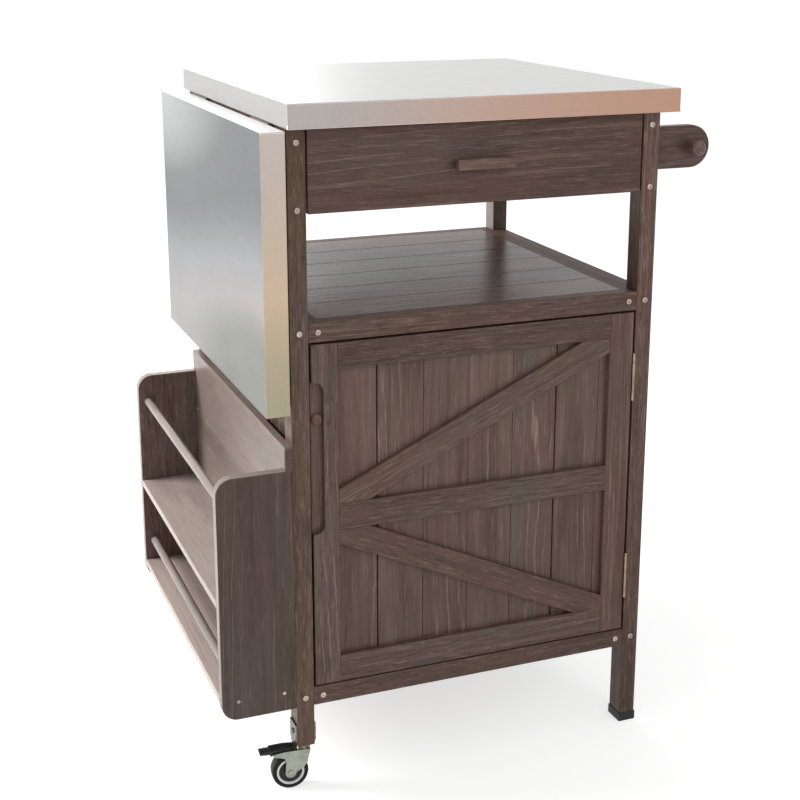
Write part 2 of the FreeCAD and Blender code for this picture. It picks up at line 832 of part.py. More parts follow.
def handle():
    """Two arms with rounded ends on the right legs and the round bar through them."""
    high = leg_top - arm_drop
    low = high - arm_h
    mid = high - arm_h / 2
    turn = frame_w + arm_reach - arm_h / 2
    outline = [(frame_w, low), (turn, low), (turn, high), (frame_w, high)]
    arm = moved(prism(outline, arm_t, {1: (frame_w + arm_reach, mid)}.items()), y=arm_inset)
    boxes = [(edge, edge.BoundBox) for edge in arm.Edges]
    outer = [edge for edge, box in boxes if box.YLength < flat_limit < box.XLength]
    arm = arm.makeFillet(wood_ease, outer)
    hole = cylinder(vec(turn, 0, mid), vec(0, 1, 0), bar_r + bar_clearance, leg_d)
    arm = arm.cut(hole)
    bar_low = arm_inset - bar_stick_out
    bar = cylinder(vec(turn, bar_low, mid), vec(0, 1, 0), bar_r, frame_d - 2 * bar_low)
    rims = [edge for edge in bar.Edges if edge.BoundBox.YLength < flat_limit]
    return {"handle_arms": [arm, across(arm)], "handle_bar": [bar.makeChamfer(bar_chamfer, rims)]}


def rack_back(inside_y):
    """The panel between the rack's ends, with a full-width head that rests on them."""
    flat = (-rack_back_t, 0)
    panel = block(flat, inside_y, (rack_low, rack_side_top))
    head = block(flat, (0, frame_d), (rack_side_top, rack_back_top))
    upper = edges_along(head, vec(1, 0, 0), lambda p: p.z > rack_back_top - rack_ear_r)
    whole = fused([panel, head.makeFillet(rack_ear_r, upper)])
    outer = [edge for edge in whole.Edges if edge.BoundBox.XMax < -rack_back_t / 2]
    return whole.makeChamfer(board_chamfer, outer)


def rack(bores):
    outer = -rack_depth
    turn_x = outer + rack_corner_r
    diagonal = rack_corner_r * (1 - math.sqrt(0.5))
    outline = [
        (0, rack_low),
        (turn_x, rack_low),
        (outer, rack_low + rack_corner_r),
        (outer, rack_side_top - rack_corner_r),
        (turn_x, rack_side_top),
        (0, rack_side_top),
    ]
    bends = {
        1: (outer + diagonal, rack_low + diagonal),
        3: (outer + diagonal, rack_side_top - diagonal),
    }
    end = prism(outline, rack_side_t, bends.items())
    rim = [edge for edge in end.Edges if edge.BoundBox.YLength < flat_limit]
    end = end.makeFillet(wood_ease, rim)
    rod_y = (rack_side_t - rack_rod_sink, frame_d - rack_side_t + rack_rod_sink)
    rods = []
    for height in rack_rod_heights:
        at = vec(outer + rack_rod_inset, rod_y[0], height)
        rods.append(cylinder(at, vec(0, 1, 0), rack_rod_r, rod_y[1] - rod_y[0]))
        socket = cylinder(at, vec(0, 1, 0), rack_rod_r + bar_clearance, rack_side_t)
        end = end.cut(socket)
    inside_y = (rack_side_t, frame_d - rack_side_t)
    shelves = [
        timber((outer, -rack_back_t), inside_y, (top - rack_shelf_t, top)) for top in rack_shelf_tops
    ]
    return {
        "rack_side_front": [drilled(end, bores)],
        "rack_side_rear": [drilled(across(end), bores)],
        "rack_back": [drilled(rack_back(inside_y), bores)],
        "rack_shelves": [drilled(shelf, bores) for shelf in shelves],
        "rack_rods": rods,
    }


def wheel_profile(points):
    """A ring turned about the wheel's axle, which runs along y, from (radius, y) points."""
    wire = Part.makePolygon([vec(r, y, 0) for r, y in points + points[:1]])
    turned = Part.Face(wire).revolve(vec(0, 0, 0), vec(0, 1, 0), 360)
    return Part.Solid(turned.Shells[0])


def wheel_core():
    half = wheel_w / 2
    bore_r = axle_r + pin_clearance
    lip = half - hub_gap
    web = half - rim_lip
    hub_end = half + fork_gap - hub_gap
    side = [
        (bore_r, hub_end),
        (hub_r, hub_end),
        (hub_r, web),
        (rim_r - rim_lip, web),
        (rim_r - rim_lip, lip),
        (rim_r, lip),
    ]
    return wheel_profile(side + [(r, -y) for r, y in reversed(side)])


def tyre():
    half = wheel_w / 2
    ring = cylinder(vec(0, -half, 0), vec(0, 1, 0), wheel_r, wheel_w)
    rims = [edge for edge in ring.Edges if edge.BoundBox.YLength < flat_limit]
    ring = ring.makeFillet(tyre_shoulder_r, rims)
    return ring.cut(cylinder(vec(0, -half - cut_extra, 0), vec(0, 1, 0), rim_r, wheel_w + 2 * cut_extra))


def fork_cheek():
    """One side of the fork as seen along the axle; x runs from the swivel to the wheel."""
    outline = [(-fork_back, fork_top), (wheel_trail + fork_eye_r, fork_top)]
    for ahead, drop in (fork_nose, fork_nose_foot, fork_throat, fork_throat_foot):
        outline.append((wheel_trail + ahead, fork_top - drop))
    outline += [
        (wheel_trail + fork_eye_r, wheel_r),
        (wheel_trail - fork_eye_r, wheel_r),
        fork_heel,
        fork_heel_top,
    ]
    eye = outline.index((wheel_trail + fork_eye_r, wheel_r))
    return prism(outline, fork_t, {eye: (wheel_trail, wheel_r - fork_eye_r)}.items())


def caster_parts():
    """Fork, axle, wheel and brake pedal about a swivel axis at x = 0, y = 0, wheel towards +x."""
    inner = wheel_w / 2 + fork_gap
    cheek = moved(fork_cheek(), y=inner)
    top = block(
        (-fork_back, wheel_trail - brake_rear - brake_heel_gap),
        (-inner - fork_t, inner + fork_t),
        (fork_top - fork_plate_t, fork_top),
    )
    race_top = caster_lift - bracket_t
    race_h = (race_top - fork_top) / 2
    cup = cylinder(vec(0, 0, fork_top), vec(0, 0, 1), race_r, race_h - slide_clearance / 2)
    fork = fused([top, cheek, cheek.mirror(vec(0, 0, 0), vec(0, 1, 0)), cup])
    pin_hole = cylinder(vec(0, 0, 0), vec(0, 0, 1), kingpin_r + pin_clearance, caster_lift)
    axle_at = vec(wheel_trail, 0, wheel_r)
    axle_half = inner + fork_t
    axle = cylinder(axle_at - vec(0, axle_half, 0), vec(0, 1, 0), axle_r, 2 * axle_half)
    brake_at = vec(wheel_trail + brake_pin_x, 0, fork_top - brake_pin_drop)
    brake_pin = cylinder(brake_at - vec(0, axle_half, 0), vec(0, 1, 0), brake_pin_r, 2 * axle_half)
    fork = fork.cut(pin_hole).cut(axle).cut(brake_pin)
    heads = []
    for side in (-1, 1):
        head = cylinder(axle_at + vec(0, side * axle_half, 0), vec(0, side, 0), axle_head_r, axle_head_h)
        rim = [edge for edge in head.Edges if abs(edge.CenterOfMass.y) > axle_half + axle_head_h / 2]
        heads.append(head.makeFillet(axle_head_h * head_round, [e for e in rim if len(e.Vertexes) == 1]))
    axle = fused([axle] + heads)
    core = moved(wheel_core(), x=wheel_trail, z=wheel_r)
    ring = moved(tyre(), x=wheel_trail, z=wheel_r)
    lever = brake_lever().cut(
        cylinder(brake_at - vec(0, inner, 0), vec(0, 1, 0), brake_pin_r + pin_clearance, 2 * inner)
    )
    return {"fork": [fork, axle, brake_pin], "core": [core], "tyre": [ring], "brake": [lever]}


def brake_lever():
    """The foot pedal that lies between the fork's cheeks, its tip beyond the wheel."""
    reach = wheel_trail
    top = fork_top + brake_rise
    low = top - brake_t
    root = reach + brake_front - brake_tip_sink
    body = prism(
        [
            (reach - brake_rear, low + brake_heel_rise),
            (reach + brake_heel_len, low),
            (reach + brake_front - brake_nose_slope, low - brake_belly),
            (reach + brake_front, top - brake_nose_drop),
            (reach + brake_pin_x, top),
            (reach - brake_rear, top - brake_heel_drop),
        ],
        brake_w,
    )
    tip = prism(
        [
            (root, low + brake_belly),
            (reach + brake_reach - brake_tip_slope, low + brake_tip_slope),
            (reach + brake_reach, top - brake_tip_drop),
            (root, top - brake_tip_step),
        ],
        brake_tip_w,
    )
    body = body.makeFillet(brake_ease, edges_along(body, vec(0, 1, 0), lambda p: True))
    tip = tip.makeFillet(brake_ease, edges_along(tip, vec(0, 1, 0), lambda p: True))
    return fused([moved(body, y=-brake_w / 2), moved(tip, y=-brake_tip_w / 2)])


def caster_bracket():
    """The bracket on the leg's foot with its bolts, upper race and kingpin, in swivel coordinates."""
    half = leg_w / 2
    low = caster_lift - bracket_t
    outline = [
        (-bracket_w / 2 + bracket_taper, 0),
        (bracket_w / 2 - bracket_taper, 0),
        (bracket_w / 2, bracket_taper_h),
        (bracket_w / 2, bracket_h),
        (-bracket_w / 2, bracket_h),
        (-bracket_w / 2, bracket_taper_h),
    ]
    cheek = prism(outline, bracket_t)
    cheek.rotate(vec(0, 0, 0), vec(0, 0, 1), 90)
    right = moved(cheek, x=half + bracket_t, z=low)
    left = moved(cheek, x=-half, z=low)
    floor_half = bracket_w / 2 - bracket_taper
    floor = block((-half - bracket_t, half + bracket_t), (-floor_half, floor_half), (low, caster_lift))
    race_h = (low - fork_top) / 2
    race = cylinder(vec(0, 0, low - race_h + slide_clearance / 2), vec(0, 0, 1), race_r, race_h)
    head_top = fork_top - fork_plate_t - slide_clearance
    pin = cylinder(vec(0, 0, head_top), vec(0, 0, 1), kingpin_r, low - head_top)
    head = cylinder(vec(0, 0, head_top - kingpin_head_h), vec(0, 0, 1), kingpin_head_r, kingpin_head_h)
    body = fused([left, right, floor, race, pin, head])
    bolt_len = leg_w + 2 * bracket_t
    bolt_hole = cylinder(vec(-half - bracket_t, 0, bolt_height), vec(1, 0, 0), pan_screw[2], bolt_len)
    bolt = screw(vec(-half - bracket_t, 0, bolt_height), vec(-1, 0, 0), pan_screw, bolt_len)
    nut = cylinder(vec(half + bracket_t, 0, bolt_height), vec(1, 0, 0), pan_screw[0], nut_h)
    return [body.cut(bolt_hole), fused([bolt, nut])], bolt_hole


def casters():
    """Both casters in place, and the holes that their bolts need in the legs."""
    nodes = {"caster_brackets": []}
    holes = []
    parts = caster_parts()
    bracket, bolt_hole = caster_bracket()
    for name, y in (("front", leg_d / 2), ("rear", frame_d - leg_d / 2)):
        for solid in bracket:
            nodes["caster_brackets"].append(moved(solid, x=leg_w / 2, y=y))
        holes.append(moved(bolt_hole, x=leg_w / 2, y=y))
        for kind, solids in parts.items():
            placed = []
            for solid in solids:
                turned = solid.copy()
                turned.rotate(vec(0, 0, 0), vec(0, 0, 1), 180 - wheel_yaw)
                placed.append(moved(turned, x=leg_w / 2, y=y))
            nodes[name + "_caster_" + kind] = placed
    return nodes, holes


def save(nodes):
    os.makedirs("parts", exist_ok=True)
    for name, solids in nodes.items():
        placed = [moved(solid, x=-origin_x, y=-origin_y) for solid in solids]
        Part.makeCompound(placed).exportStep("parts/" + name + ".step")


def main():
    frame_seats = frame_screw_seats()
    rack_seats = rack_screw_seats()
    caster_nodes, caster_holes = casters()
    hinge_bores = bores_of(leaf_hinge_seats(-leaf_plate_t, vec(-1, 0, 0)), small_screw)
    frame_bores = bores_of(frame_seats, pan_screw)
    rack_bores = bores_of(rack_seats, small_screw)
    all_bores = frame_bores + rack_bores + caster_holes + hinge_bores
    nodes = {}
    sections = [
        legs(all_bores),
        deck("floor", floor_top, frame_bores),
        deck("shelf", shelf_top, frame_bores),
        cabinet_walls(),
        top_rails(frame_bores + hinge_bores),
        worktop(),
        drop_leaf(),
        drawer(),
        drawer_slides(),
        door(),
        handle(),
        rack(rack_bores),
        caster_nodes,
        {"frame_screws": [screw(at, up, pan_screw, length) for at, up, length in frame_seats]},
        {"rack_screws": [screw(at, up, small_screw, length) for at, up, length in rack_seats]},
    ]
    for section in sections:
        for name, solids in section.items():
            nodes.setdefault(name, [])
            nodes[name] += solids
    save(nodes)


main()
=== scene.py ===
"""Looks for the grill cart: finishes, small fittings, floor, light and camera."""

import json
import math

import bmesh
import bpy
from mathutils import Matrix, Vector


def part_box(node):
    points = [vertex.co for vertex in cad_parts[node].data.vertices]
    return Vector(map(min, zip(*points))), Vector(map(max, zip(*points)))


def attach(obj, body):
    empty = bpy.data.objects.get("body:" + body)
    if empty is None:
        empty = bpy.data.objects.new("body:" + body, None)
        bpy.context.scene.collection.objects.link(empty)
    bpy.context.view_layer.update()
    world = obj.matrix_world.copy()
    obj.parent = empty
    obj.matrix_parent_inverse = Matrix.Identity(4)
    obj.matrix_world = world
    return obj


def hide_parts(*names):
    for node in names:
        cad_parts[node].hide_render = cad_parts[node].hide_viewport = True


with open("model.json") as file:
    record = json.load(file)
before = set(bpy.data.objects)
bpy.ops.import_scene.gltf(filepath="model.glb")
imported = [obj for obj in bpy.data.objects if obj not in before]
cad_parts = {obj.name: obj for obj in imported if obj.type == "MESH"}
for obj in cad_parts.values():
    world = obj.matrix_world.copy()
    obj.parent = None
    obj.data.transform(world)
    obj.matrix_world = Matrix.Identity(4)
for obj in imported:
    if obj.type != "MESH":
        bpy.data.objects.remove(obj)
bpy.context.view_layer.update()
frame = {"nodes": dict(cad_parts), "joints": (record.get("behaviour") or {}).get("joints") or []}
nodes = frame["nodes"]
joints = {joint["name"]: joint for joint in frame["joints"]}
bpy.ops.object.select_all(action="DESELECT")


# Camera, fitted to the photograph: place in metres, turns in degrees, lens and sensor in millimetres
CAMERA_PLACE = (-0.7456, -1.8991, 1.1036)
CAMERA_YAW = 21.295
CAMERA_PITCH = 14.658
CAMERA_LENS = 65.043
CAMERA_SENSOR = 36.0
CAMERA_SHIFT = (0.0, -0.10)
CAMERA_REACH = 100.0

# Floor, world and lamps
WHITE = (1.0, 1.0, 1.0)
FLOOR_SIZE = 60.0
FLOOR_COLOUR = (0.64, 0.64, 0.64)
FLOOR_ROUGH = 0.9
FLOOR_SHINE = 0.1
FLOOR_GLOW = 0.62
WORLD_LIGHT = 0.58
WORLD_SEEN = 1.0
LAMPS = {
    "key_rear_left": {"place": (-3.0, 1.3, 2.1), "size": 1.6, "power": 150.0},
    "fill_front": {"place": (0.6, -3.4, 2.3), "size": 2.6, "power": 25.0},
    "window_behind": {"place": (0.70, 4.6, 2.55), "size": 1.4, "power": 15.0},
}
LAMP_AIM = (0.0, 0.0, 0.5)

# Colours of the stain, of the painted light on faces that look up or left, and of wood without it
STAIN = (0.115, 0.068, 0.0525)
STAIN_PALE = (0.290, 0.200, 0.165)
STAIN_DARK = (0.038, 0.019, 0.013)
STAIN_RED = (0.126, 0.063, 0.056)
STAIN_GREEN = (0.102, 0.074, 0.047)
STAIN_GREY = (0.110, 0.090, 0.083)
STAIN_PAINTED_LIGHT = (0.300, 0.248, 0.223)
RAW_WOOD = (0.52, 0.37, 0.22)
RAW_WOOD_DARK = (0.38, 0.24, 0.13)

# Growth rings, in metres: their spacing and line width, how far they wander, and where the pith lies.
# The pith leans by up to half the slant, and FAR_AWAY is a length well beyond the object's.
RING_SPACING = 0.0075
RING_LINE = 0.0013
RING_WANDER = 0.024
RING_RIPPLE = 0.0045
PITH_DEPTH = 0.06
PITH_SHIFT = 0.04
SLANT = 0.05
FAR_AWAY = 10.0

# A ring's line: the share of the ring where it ends, and (line widths before that, strength there)
RING_END = 0.9
RING_PROFILE = ((1.0, 0.0), (0.6, 1.0), (0.3, 0.8), (0.0, 0.0))

# Noise in the wood: lines per metre along the grain, across it and into the board, detail, roughness
WANDER = ((2.6, 12.0, 12.0), 2.0, 0.5)
RIPPLE = ((14.0, 40.0, 40.0), 2.0, 0.5)
FIBRE = ((12.0, 560.0, 560.0), 2.0, 0.6)
BAND = ((3.5, 110.0, 110.0), 2.0, 0.55)
CLOUD = ((4.0, 16.0, 16.0), 3.0, 0.5)
TINT = ((5.0, 13.0, 13.0), 2.0, 0.5)
LINE_GROUP = ((1.4, 24.0, 24.0), 1.0, 0.5)
LINE_BREAK = ((24.0, 300.0, 300.0), 2.0, 0.5)
SCRATCH = ((20.0, 700.0, 700.0), 1.0, 0.5)
FLECK = ((48.0, 340.0, 340.0), 2.0, 0.6)
RUB_PATCH = ((30.0, 60.0, 60.0), 3.0, 0.5)

# Layers of the stain: the noise values where each sets in and is full, and its strength at the two.
# A strength that is missing here comes from the look of the piece.
RED_TINT = (0.46, 0.70, 0.0, 0.65)
GREEN_TINT = (0.46, 0.28, 0.0, 0.45)
GREY_CLOUDS = (0.50, 0.74)
DARK_CLOUDS = (0.48, 0.28, 0.0, 0.45)
DARK_BANDS = (0.50, 0.28, 0.0, 0.34)
PALE_BANDS = (0.54, 0.74, 0.0, 0.22)
DARK_FIBRES = (0.48, 0.26, 0.0)
SCRATCHES = (0.65, 0.74, 0.0, 0.50)
PALE_FLECKS = (0.57, 0.69, 0.0)
DARK_FLECKS = (0.43, 0.31, 0.0)
# Grey fibres and clouds inside the painted light on faces that look up or left
PAINTED_LIGHT_FIBRES = (0.55, 0.30, 0.0, 0.45)
PAINTED_LIGHT_CLOUDS = (0.42, 0.66, 0.0, 0.35)
CLOUDS_GREYER = 0.5
PALE_FLECK_SHARE = 0.50
DARK_FLECK_SHARE = 0.75

# Raised lines: noise limits of their groups, how far a look's lines widen these, and their breaks
LINE_GROUPS = (0.62, 0.76)
LINES_WIDEN = 0.2
LINE_LEAST = 0.06
LINE_BREAKS = (0.36, 0.56, 0.15, 1.0)
LINE_STRENGTH = 0.68

# Tones of the darkest and the palest board, and tones well below and above the height where a piece
# turns lighter
BOARD_TONES = (0.92, 1.08)
BELOW_ABOVE_TONES = (0.90, 1.15)
LIGHTER_ABOVE_REACH = 0.12

# Shine and relief of wood: the fibres' noise limits, how far they move the roughness, shares of the
# relief, and each bump as (depth in metres, strength)
FIBRE_LIMITS = (0.3, 0.7)
SATIN_LOOSE = 0.06
SATIN_TIGHT = 0.04
LINE_RELIEF = 0.6
FIBRE_RELIEF = 0.4
STAINED_BUMP = (0.0003, 0.7)
WOOD_SHINE = 0.2
RAW_LINES = 0.45
RAW_FIBRES = (0.5, 0.25, 0.0, 0.35)
RAW_ROUGH = (0.68, 0.56)
RAW_FIBRE_RELIEF = 0.6
RAW_BAND_RELIEF = 0.4
RAW_BUMP = (0.0002, 0.5)

# How far left or up a face looks for the painted light on it; the radius, bend and patches at which an
# edge is painted paler, part rubbed and part painted highlight
FACING_LIMITS = (0.45, 0.80)
EDGE_SAMPLES = 2
EDGE_RADIUS = 0.0012
EDGE_BEND = (0.99, 0.88)
RUBBED_AND_HIGHLIT = (0.42, 0.68, 0.05, 0.60)

# Boards side by side in one piece: how many, or the door's first joint and board width in metres
SIDE_BOARDS = 7
BACK_BOARDS = 7
DECK_BOARDS = 6
DOOR_FIRST_JOINT = 0.0263
DOOR_BOARD = 0.0646

# Twins in one piece, told apart by side or by height: (size of a cell, start of one) in metres.
# SEED_SPREAD is how a piece's seed moves its cells on each axis.
SIDES = (1.0, 0.0)
DECK_LEVELS = (0.4, 0.0)
RACK_LEVELS = (0.2, 0.0)
ROD_LEVELS = (0.2, 0.1)
SEED_SPREAD = (1.0, 0.37, -0.61)

# Coordinates as (along the grain, across it, into the board), by the grain and the board's face
GRAIN_AXES = {"x": (0, 2, 1), "y": (1, 0, 2), "z": (2, 0, 1), "zy": (2, 1, 0), "xy": (0, 1, 2)}

# Each stained piece: its grain, and how its look departs from the common one. tone is its lightness,
# satin its roughness, lighter_above the height in metres above which it is lighter, spacing that of its
# rings, slant its pith's;
# grey, painted_light, lines, fibres and flecks are strengths, painted_light that of the painted light on
# faces that look up or left.
WOOD_LOOKS = {
    "leg_front_left": ("z", {"tone": 1.14, "stain": (0.116, 0.071, 0.045)}),
    "leg_front_right": ("z", {"tone": 1.16, "lighter_above": 0.55}),
    "leg_rear_left": ("z", {}),
    "leg_rear_right": ("z", {"tone": 0.8, "painted_light": 0.9}),
    "floor_rail_front": ("x", {}),
    "floor_rail_rear": ("x", {}),
    "shelf_rail_front": ("x", {"satin": 0.46}),
    "shelf_rail_rear": ("x", {"satin": 0.46}),
    "side_rails": ("y", {"satin": 0.5}),
    "deck_battens": ("y", {"satin": 0.5}),
    "floor_boards": ("xy", {"satin": 0.46}),
    "shelf_boards": ("xy", {"satin": 0.28}),
    "side_boards_left": ("zy", {}),
    "side_boards_right": ("zy", {}),
    "back_boards": ("z", {}),
    "top_side_rails": ("y", {}),
    "top_cross_rails": ("x", {}),
    "drawer_front": (
        "x",
        {"tone": 1.04, "lines": 0.8, "slant": 0.16, "spacing": 0.013, "fibres": 0.3, "flecks": 0.45},
    ),
    "drawer_pull": ("x", {"lines": 0.2, "tone": 1.2, "stain": (0.150, 0.084, 0.070)}),
    "door_boards": (
        "z",
        {
            "tone": 1.16,
            "spacing": 0.006,
            "lines": 0.45,
            "lighter_above": 0.34,
            "stain": (0.130, 0.083, 0.067),
            "flecks": 0.2,
        },
    ),
    "door_stile_left": ("z", {"lines": 0.2, "grey": 0.45, "tone": 1.08}),
    "door_stile_right": ("z", {"tone": 1.30, "flecks": 0.2}),
    "door_rails": ("x", {"tone": 1.06}),
    "door_brace_upper": ("x", {"tone": 1.14}),
    "door_brace_lower": ("x", {"tone": 1.12}),
    "door_knob": ("z", {"tone": 1.6, "lines": 0.1}),
    "door_stop_cleat": ("x", {}),
    "handle_arms": ("x", {}),
    "handle_bar": ("y", {"tone": 1.45, "grey": 0.5}),
    "rack_side_front": (
        "z",
        {
            "tone": 0.80,
            "painted_light": 0.9,
            "grey": 0.3,
            "spacing": 0.012,
            "fibres": 0.3,
            "flecks": 0.3,
            "lines": 0.5,
        },
    ),
    "rack_side_rear": ("z", {"tone": 1.25, "painted_light": 0.9, "grey": 0.3}),
    "rack_back": ("y", {"painted_light": 0.5, "grey": 0.1}),
    # The rack's shelves have a high tone: painted light for the strong light that falls on them
    "rack_shelves": ("y", {"tone": 1.62, "painted_light": 0.95, "grey": 0.2}),
    "rack_rods": ("y", {"tone": 1.1, "painted_light": 0.9, "grey": 0.3}),
}

# Each unstained piece: its grain and its seed
RAW_LOOKS = {
    "drawer_box": ("y", 50.0),
    "drawer_bottom": ("xy", 51.0),
    "worktop_core": ("xy", 52.0),
    "leaf_core": ("y", 53.0),
}

# Satin steel: its colours, with the painted reflections on the lips and on the leaf's face as (share of
# the way along, colour)
STEEL_TOP = (0.585, 0.585, 0.58)
# Painted shade: a darker grey for the worktop's left lip
STEEL_LEFT_SHADE = (0.55, 0.545, 0.54)
# Painted warm reflection on the worktop's front lip, from left to right
WORKTOP_LIP_REFLECTION = (
    (0.0, (0.405, 0.368, 0.347)),
    (0.45, (0.465, 0.330, 0.275)),
    (1.0, (0.475, 0.287, 0.213)),
)
# Painted highlight on the leaf's top edge, and painted reflections down its face and on its front lip
LEAF_TOP_HIGHLIGHT = (0.84, 0.84, 0.83)
LEAF_TOP_HIGHLIGHT_LIMITS = (0.4, 0.8)
LEAF_REFLECTION_LEAN = 0.33
LEAF_FACE_REFLECTION = (
    (0.0, (0.47, 0.49, 0.485)),
    (0.20, (0.190, 0.202, 0.199)),
    (0.34, (0.164, 0.172, 0.183)),
    (0.42, (0.190, 0.202, 0.214)),
    (0.58, (0.280, 0.284, 0.296)),
    (0.74, (0.322, 0.299, 0.293)),
    (0.88, (0.185, 0.192, 0.166)),
)
LEAF_LIP_REFLECTION = (
    (0.0, (0.35, 0.31, 0.22)),
    (0.4, (0.52, 0.40, 0.29)),
    (1.0, (0.46, 0.40, 0.36)),
)
LIP_START = 0.0012
LIP_FULL = 0.0003
WORKTOP_ROUGH = 0.24
LEAF_ROUGH = 0.34

# Noise in satin steel, in lines per metre on x, y and z, then detail and roughness of the noise; what
# it does to the shade, as (low noise, high noise, shade at low, shade at high), and to the roughness
BRUSHING = ((2600.0, 26.0, 2600.0), 3.0, 0.7)
BRUSH_BAND = ((420.0, 5.0, 420.0), 2.0, 0.6)
HANDLING = ((6.0, 6.0, 6.0), 2.0, 0.5)
SMUDGE = ((38.0, 17.0, 38.0), 4.0, 0.6)
BRUSHING_SHADE = (0.2, 0.8, 0.95, 1.03)
BRUSH_BAND_SHADE = (0.3, 0.7, 0.965, 1.02)
SMUDGE_SHADE = (0.52, 0.72, 1.0, 0.965)
HANDLING_ROUGH = 0.08
SMUDGE_ROUGH = 0.06
BRUSHING_ROUGH = 0.06
BRUSHING_BUMP = (0.00003, 0.35)

# Plated steel: the colour, the colour of its spangle, and the roughness of each kind
PLATED = {
    "zinc_plate": ((0.52, 0.53, 0.51), (0.42, 0.45, 0.41), 0.26),
    # The leaf hinges' plates are a dark grey: painted shade for the gap between leaf and frame
    "zinc_plate_leaf_hinge_painted_shade": ((0.17, 0.16, 0.155), (0.11, 0.105, 0.10), 0.34),
    "zinc_plate_caster": ((0.30, 0.315, 0.265), (0.22, 0.235, 0.19), 0.20),
    "zinc_plate_bracket": ((0.19, 0.19, 0.165), (0.13, 0.13, 0.11), 0.24),
    "zinc_plate_screw": ((0.52, 0.435, 0.385), (0.36, 0.295, 0.26), 0.22),
    "zinc_plate_brad": ((0.075, 0.060, 0.052), (0.045, 0.034, 0.028), 0.34),
    "brassy_zinc_plate": ((0.34, 0.27, 0.19), (0.24, 0.18, 0.12), 0.26),
}
SPANGLE = ((110.0, 110.0, 110.0), 3.0, 0.5)
SPANGLE_LIMITS = (0.30, 0.72)
SPANGLE_ROUGH = 0.16
PLATE_GRAIN = ((1500.0, 1500.0, 1500.0), 2.0, 0.5)
PLATE_BUMP = (0.00002, 0.4)

# Plastic and rubber: the colour, roughness, grains per metre and shine of each kind
MOULDED = {
    "black_plastic": ((0.010, 0.010, 0.011), 0.36, 2200.0, 0.35),
    "tyre_rubber": ((0.008, 0.008, 0.008), 0.40, 1500.0, 0.2),
    "catch_plastic": ((0.035, 0.028, 0.024), 0.42, 2200.0, 0.35),
}
DUST = ((90.0, 90.0, 90.0), 3.0, 0.5)
DUST_LAYER = (0.45, 0.75, 0.0, 0.6)
DUST_ROUGH = 0.14
DUST_GAIN = 1.25
DUST_FILM = 0.006
MOULD_GRAIN = (2.0, 0.5)
MOULD_BUMP = (0.00004, 0.6)

# The wheel's core: a pale rim from this radius, in metres, round a dark web and hub
RIM_PALE = (0.80, 0.80, 0.78)
HUB_DARK = (0.011, 0.011, 0.012)
RIM_START = 0.0159
RIM_SOFT = 0.0001
WHEEL_GRAIN = ((1800.0, 1800.0, 1800.0), 2.0, 0.5)
WHEEL_ROUGH = (0.1, 0.38)
WHEEL_BUMP = (0.00003, 0.5)
WHEEL_SHINE = 0.3

# The nodes that have each finish, apart from the wooden ones and the wheels' cores
FITTINGS = {
    "satin_steel_worktop_painted_light": ("worktop_skin",),
    "satin_steel_leaf_painted_reflection": ("leaf_skin",),
    "zinc_plate": ("drawer_runners", "drawer_slides", "door_catch_plate"),
    "zinc_plate_leaf_hinge_painted_shade": ("leaf_hinge_frame_plates", "leaf_hinge_leaf_plates"),
    "zinc_plate_caster": ("front_caster_fork", "rear_caster_fork"),
    "zinc_plate_bracket": ("caster_brackets",),
    "zinc_plate_screw": ("frame_screws", "rack_screws"),
    "brassy_zinc_plate": ("door_hinge_door_plates", "door_hinge_frame_plates"),
    "black_plastic": ("foot_caps", "front_caster_brake", "rear_caster_brake"),
    "tyre_rubber": ("front_caster_tyre", "rear_caster_tyre"),
    "catch_plastic": ("door_catch_magnet",),
}

# Modelling: a millimetre and the weld of double corners in metres, angles in degrees, steps of a
# rounded edge, and how squarely a picked face looks along its axis
MM = 0.001
WELD = 0.000002
SMOOTH_UNDER = 35
SOFT_ANGLE = 30
SOFT_STEPS = 2
MOSTLY = 0.7
SQUARELY = 0.9

# Tyre: (radius, distance from its middle) down one side of its section, in millimetres
TYRE_STEPS = 72
TYRE_SMOOTH_UNDER = 40
TYRE_HALF = (
    (18.75, 8.4),
    (19.1, 8.85),
    (19.6, 9.0),
    (20.7, 9.0),
    (20.9, 8.75),
    (21.3, 8.75),
    (21.5, 9.0),
    (22.7, 8.97),
    (23.6, 8.65),
    (24.3, 8.0),
    (24.65, 7.1),
    (24.8, 5.6),
    (24.9, 3.0),
    (24.93, 0.35),
    (25.0, 0.15),
)

# Brake pedal, in millimetres: its heel, nose and tip from the swivel, its heights and its width.
# Its waist lies behind the heel, and the lower and the upper corners of each end move by (x, y, z).
PEDAL_ENDS = (17.0, 47.5, 61.0)
PEDAL_HEIGHTS = (52.0, 60.0)
PEDAL_WIDTH = 17.0
PEDAL_WAIST = 10.0
PEDAL_HEEL_MOVES = ((0.0, 0.0, 1.5), (0.0, 0.0, -1.0))
PEDAL_NOSE_MOVES = ((-1.0, 0.0, -0.45), (0.0, 0.0, -1.2))
PEDAL_TIP_MOVES = ((0.0, 0.0, 0.8), (0.0, 0.0, -0.5))
PEDAL_TIP_BORDER = 1.5
PEDAL_TOP_BORDER = 2.2
PEDAL_TOP_SUNK = 1.3
PEDAL_RIBS = 4
PEDAL_RIB_START = 1.4
PEDAL_RIB_WIDTH = 1.45
PEDAL_RIB_HEIGHT = 0.7
PEDAL_ROUND = 0.3

# Folded hems of the sheet steel, in metres
HEM_WIDTH = 0.012
HEM_THICK = 0.0008

# Screw and brad heads, in millimetres: radius and height
HINGE_SCREW = (2.6, 0.14)
PULL_SCREW = (3.8, 1.9)
BRAD = (0.85, 0.12)

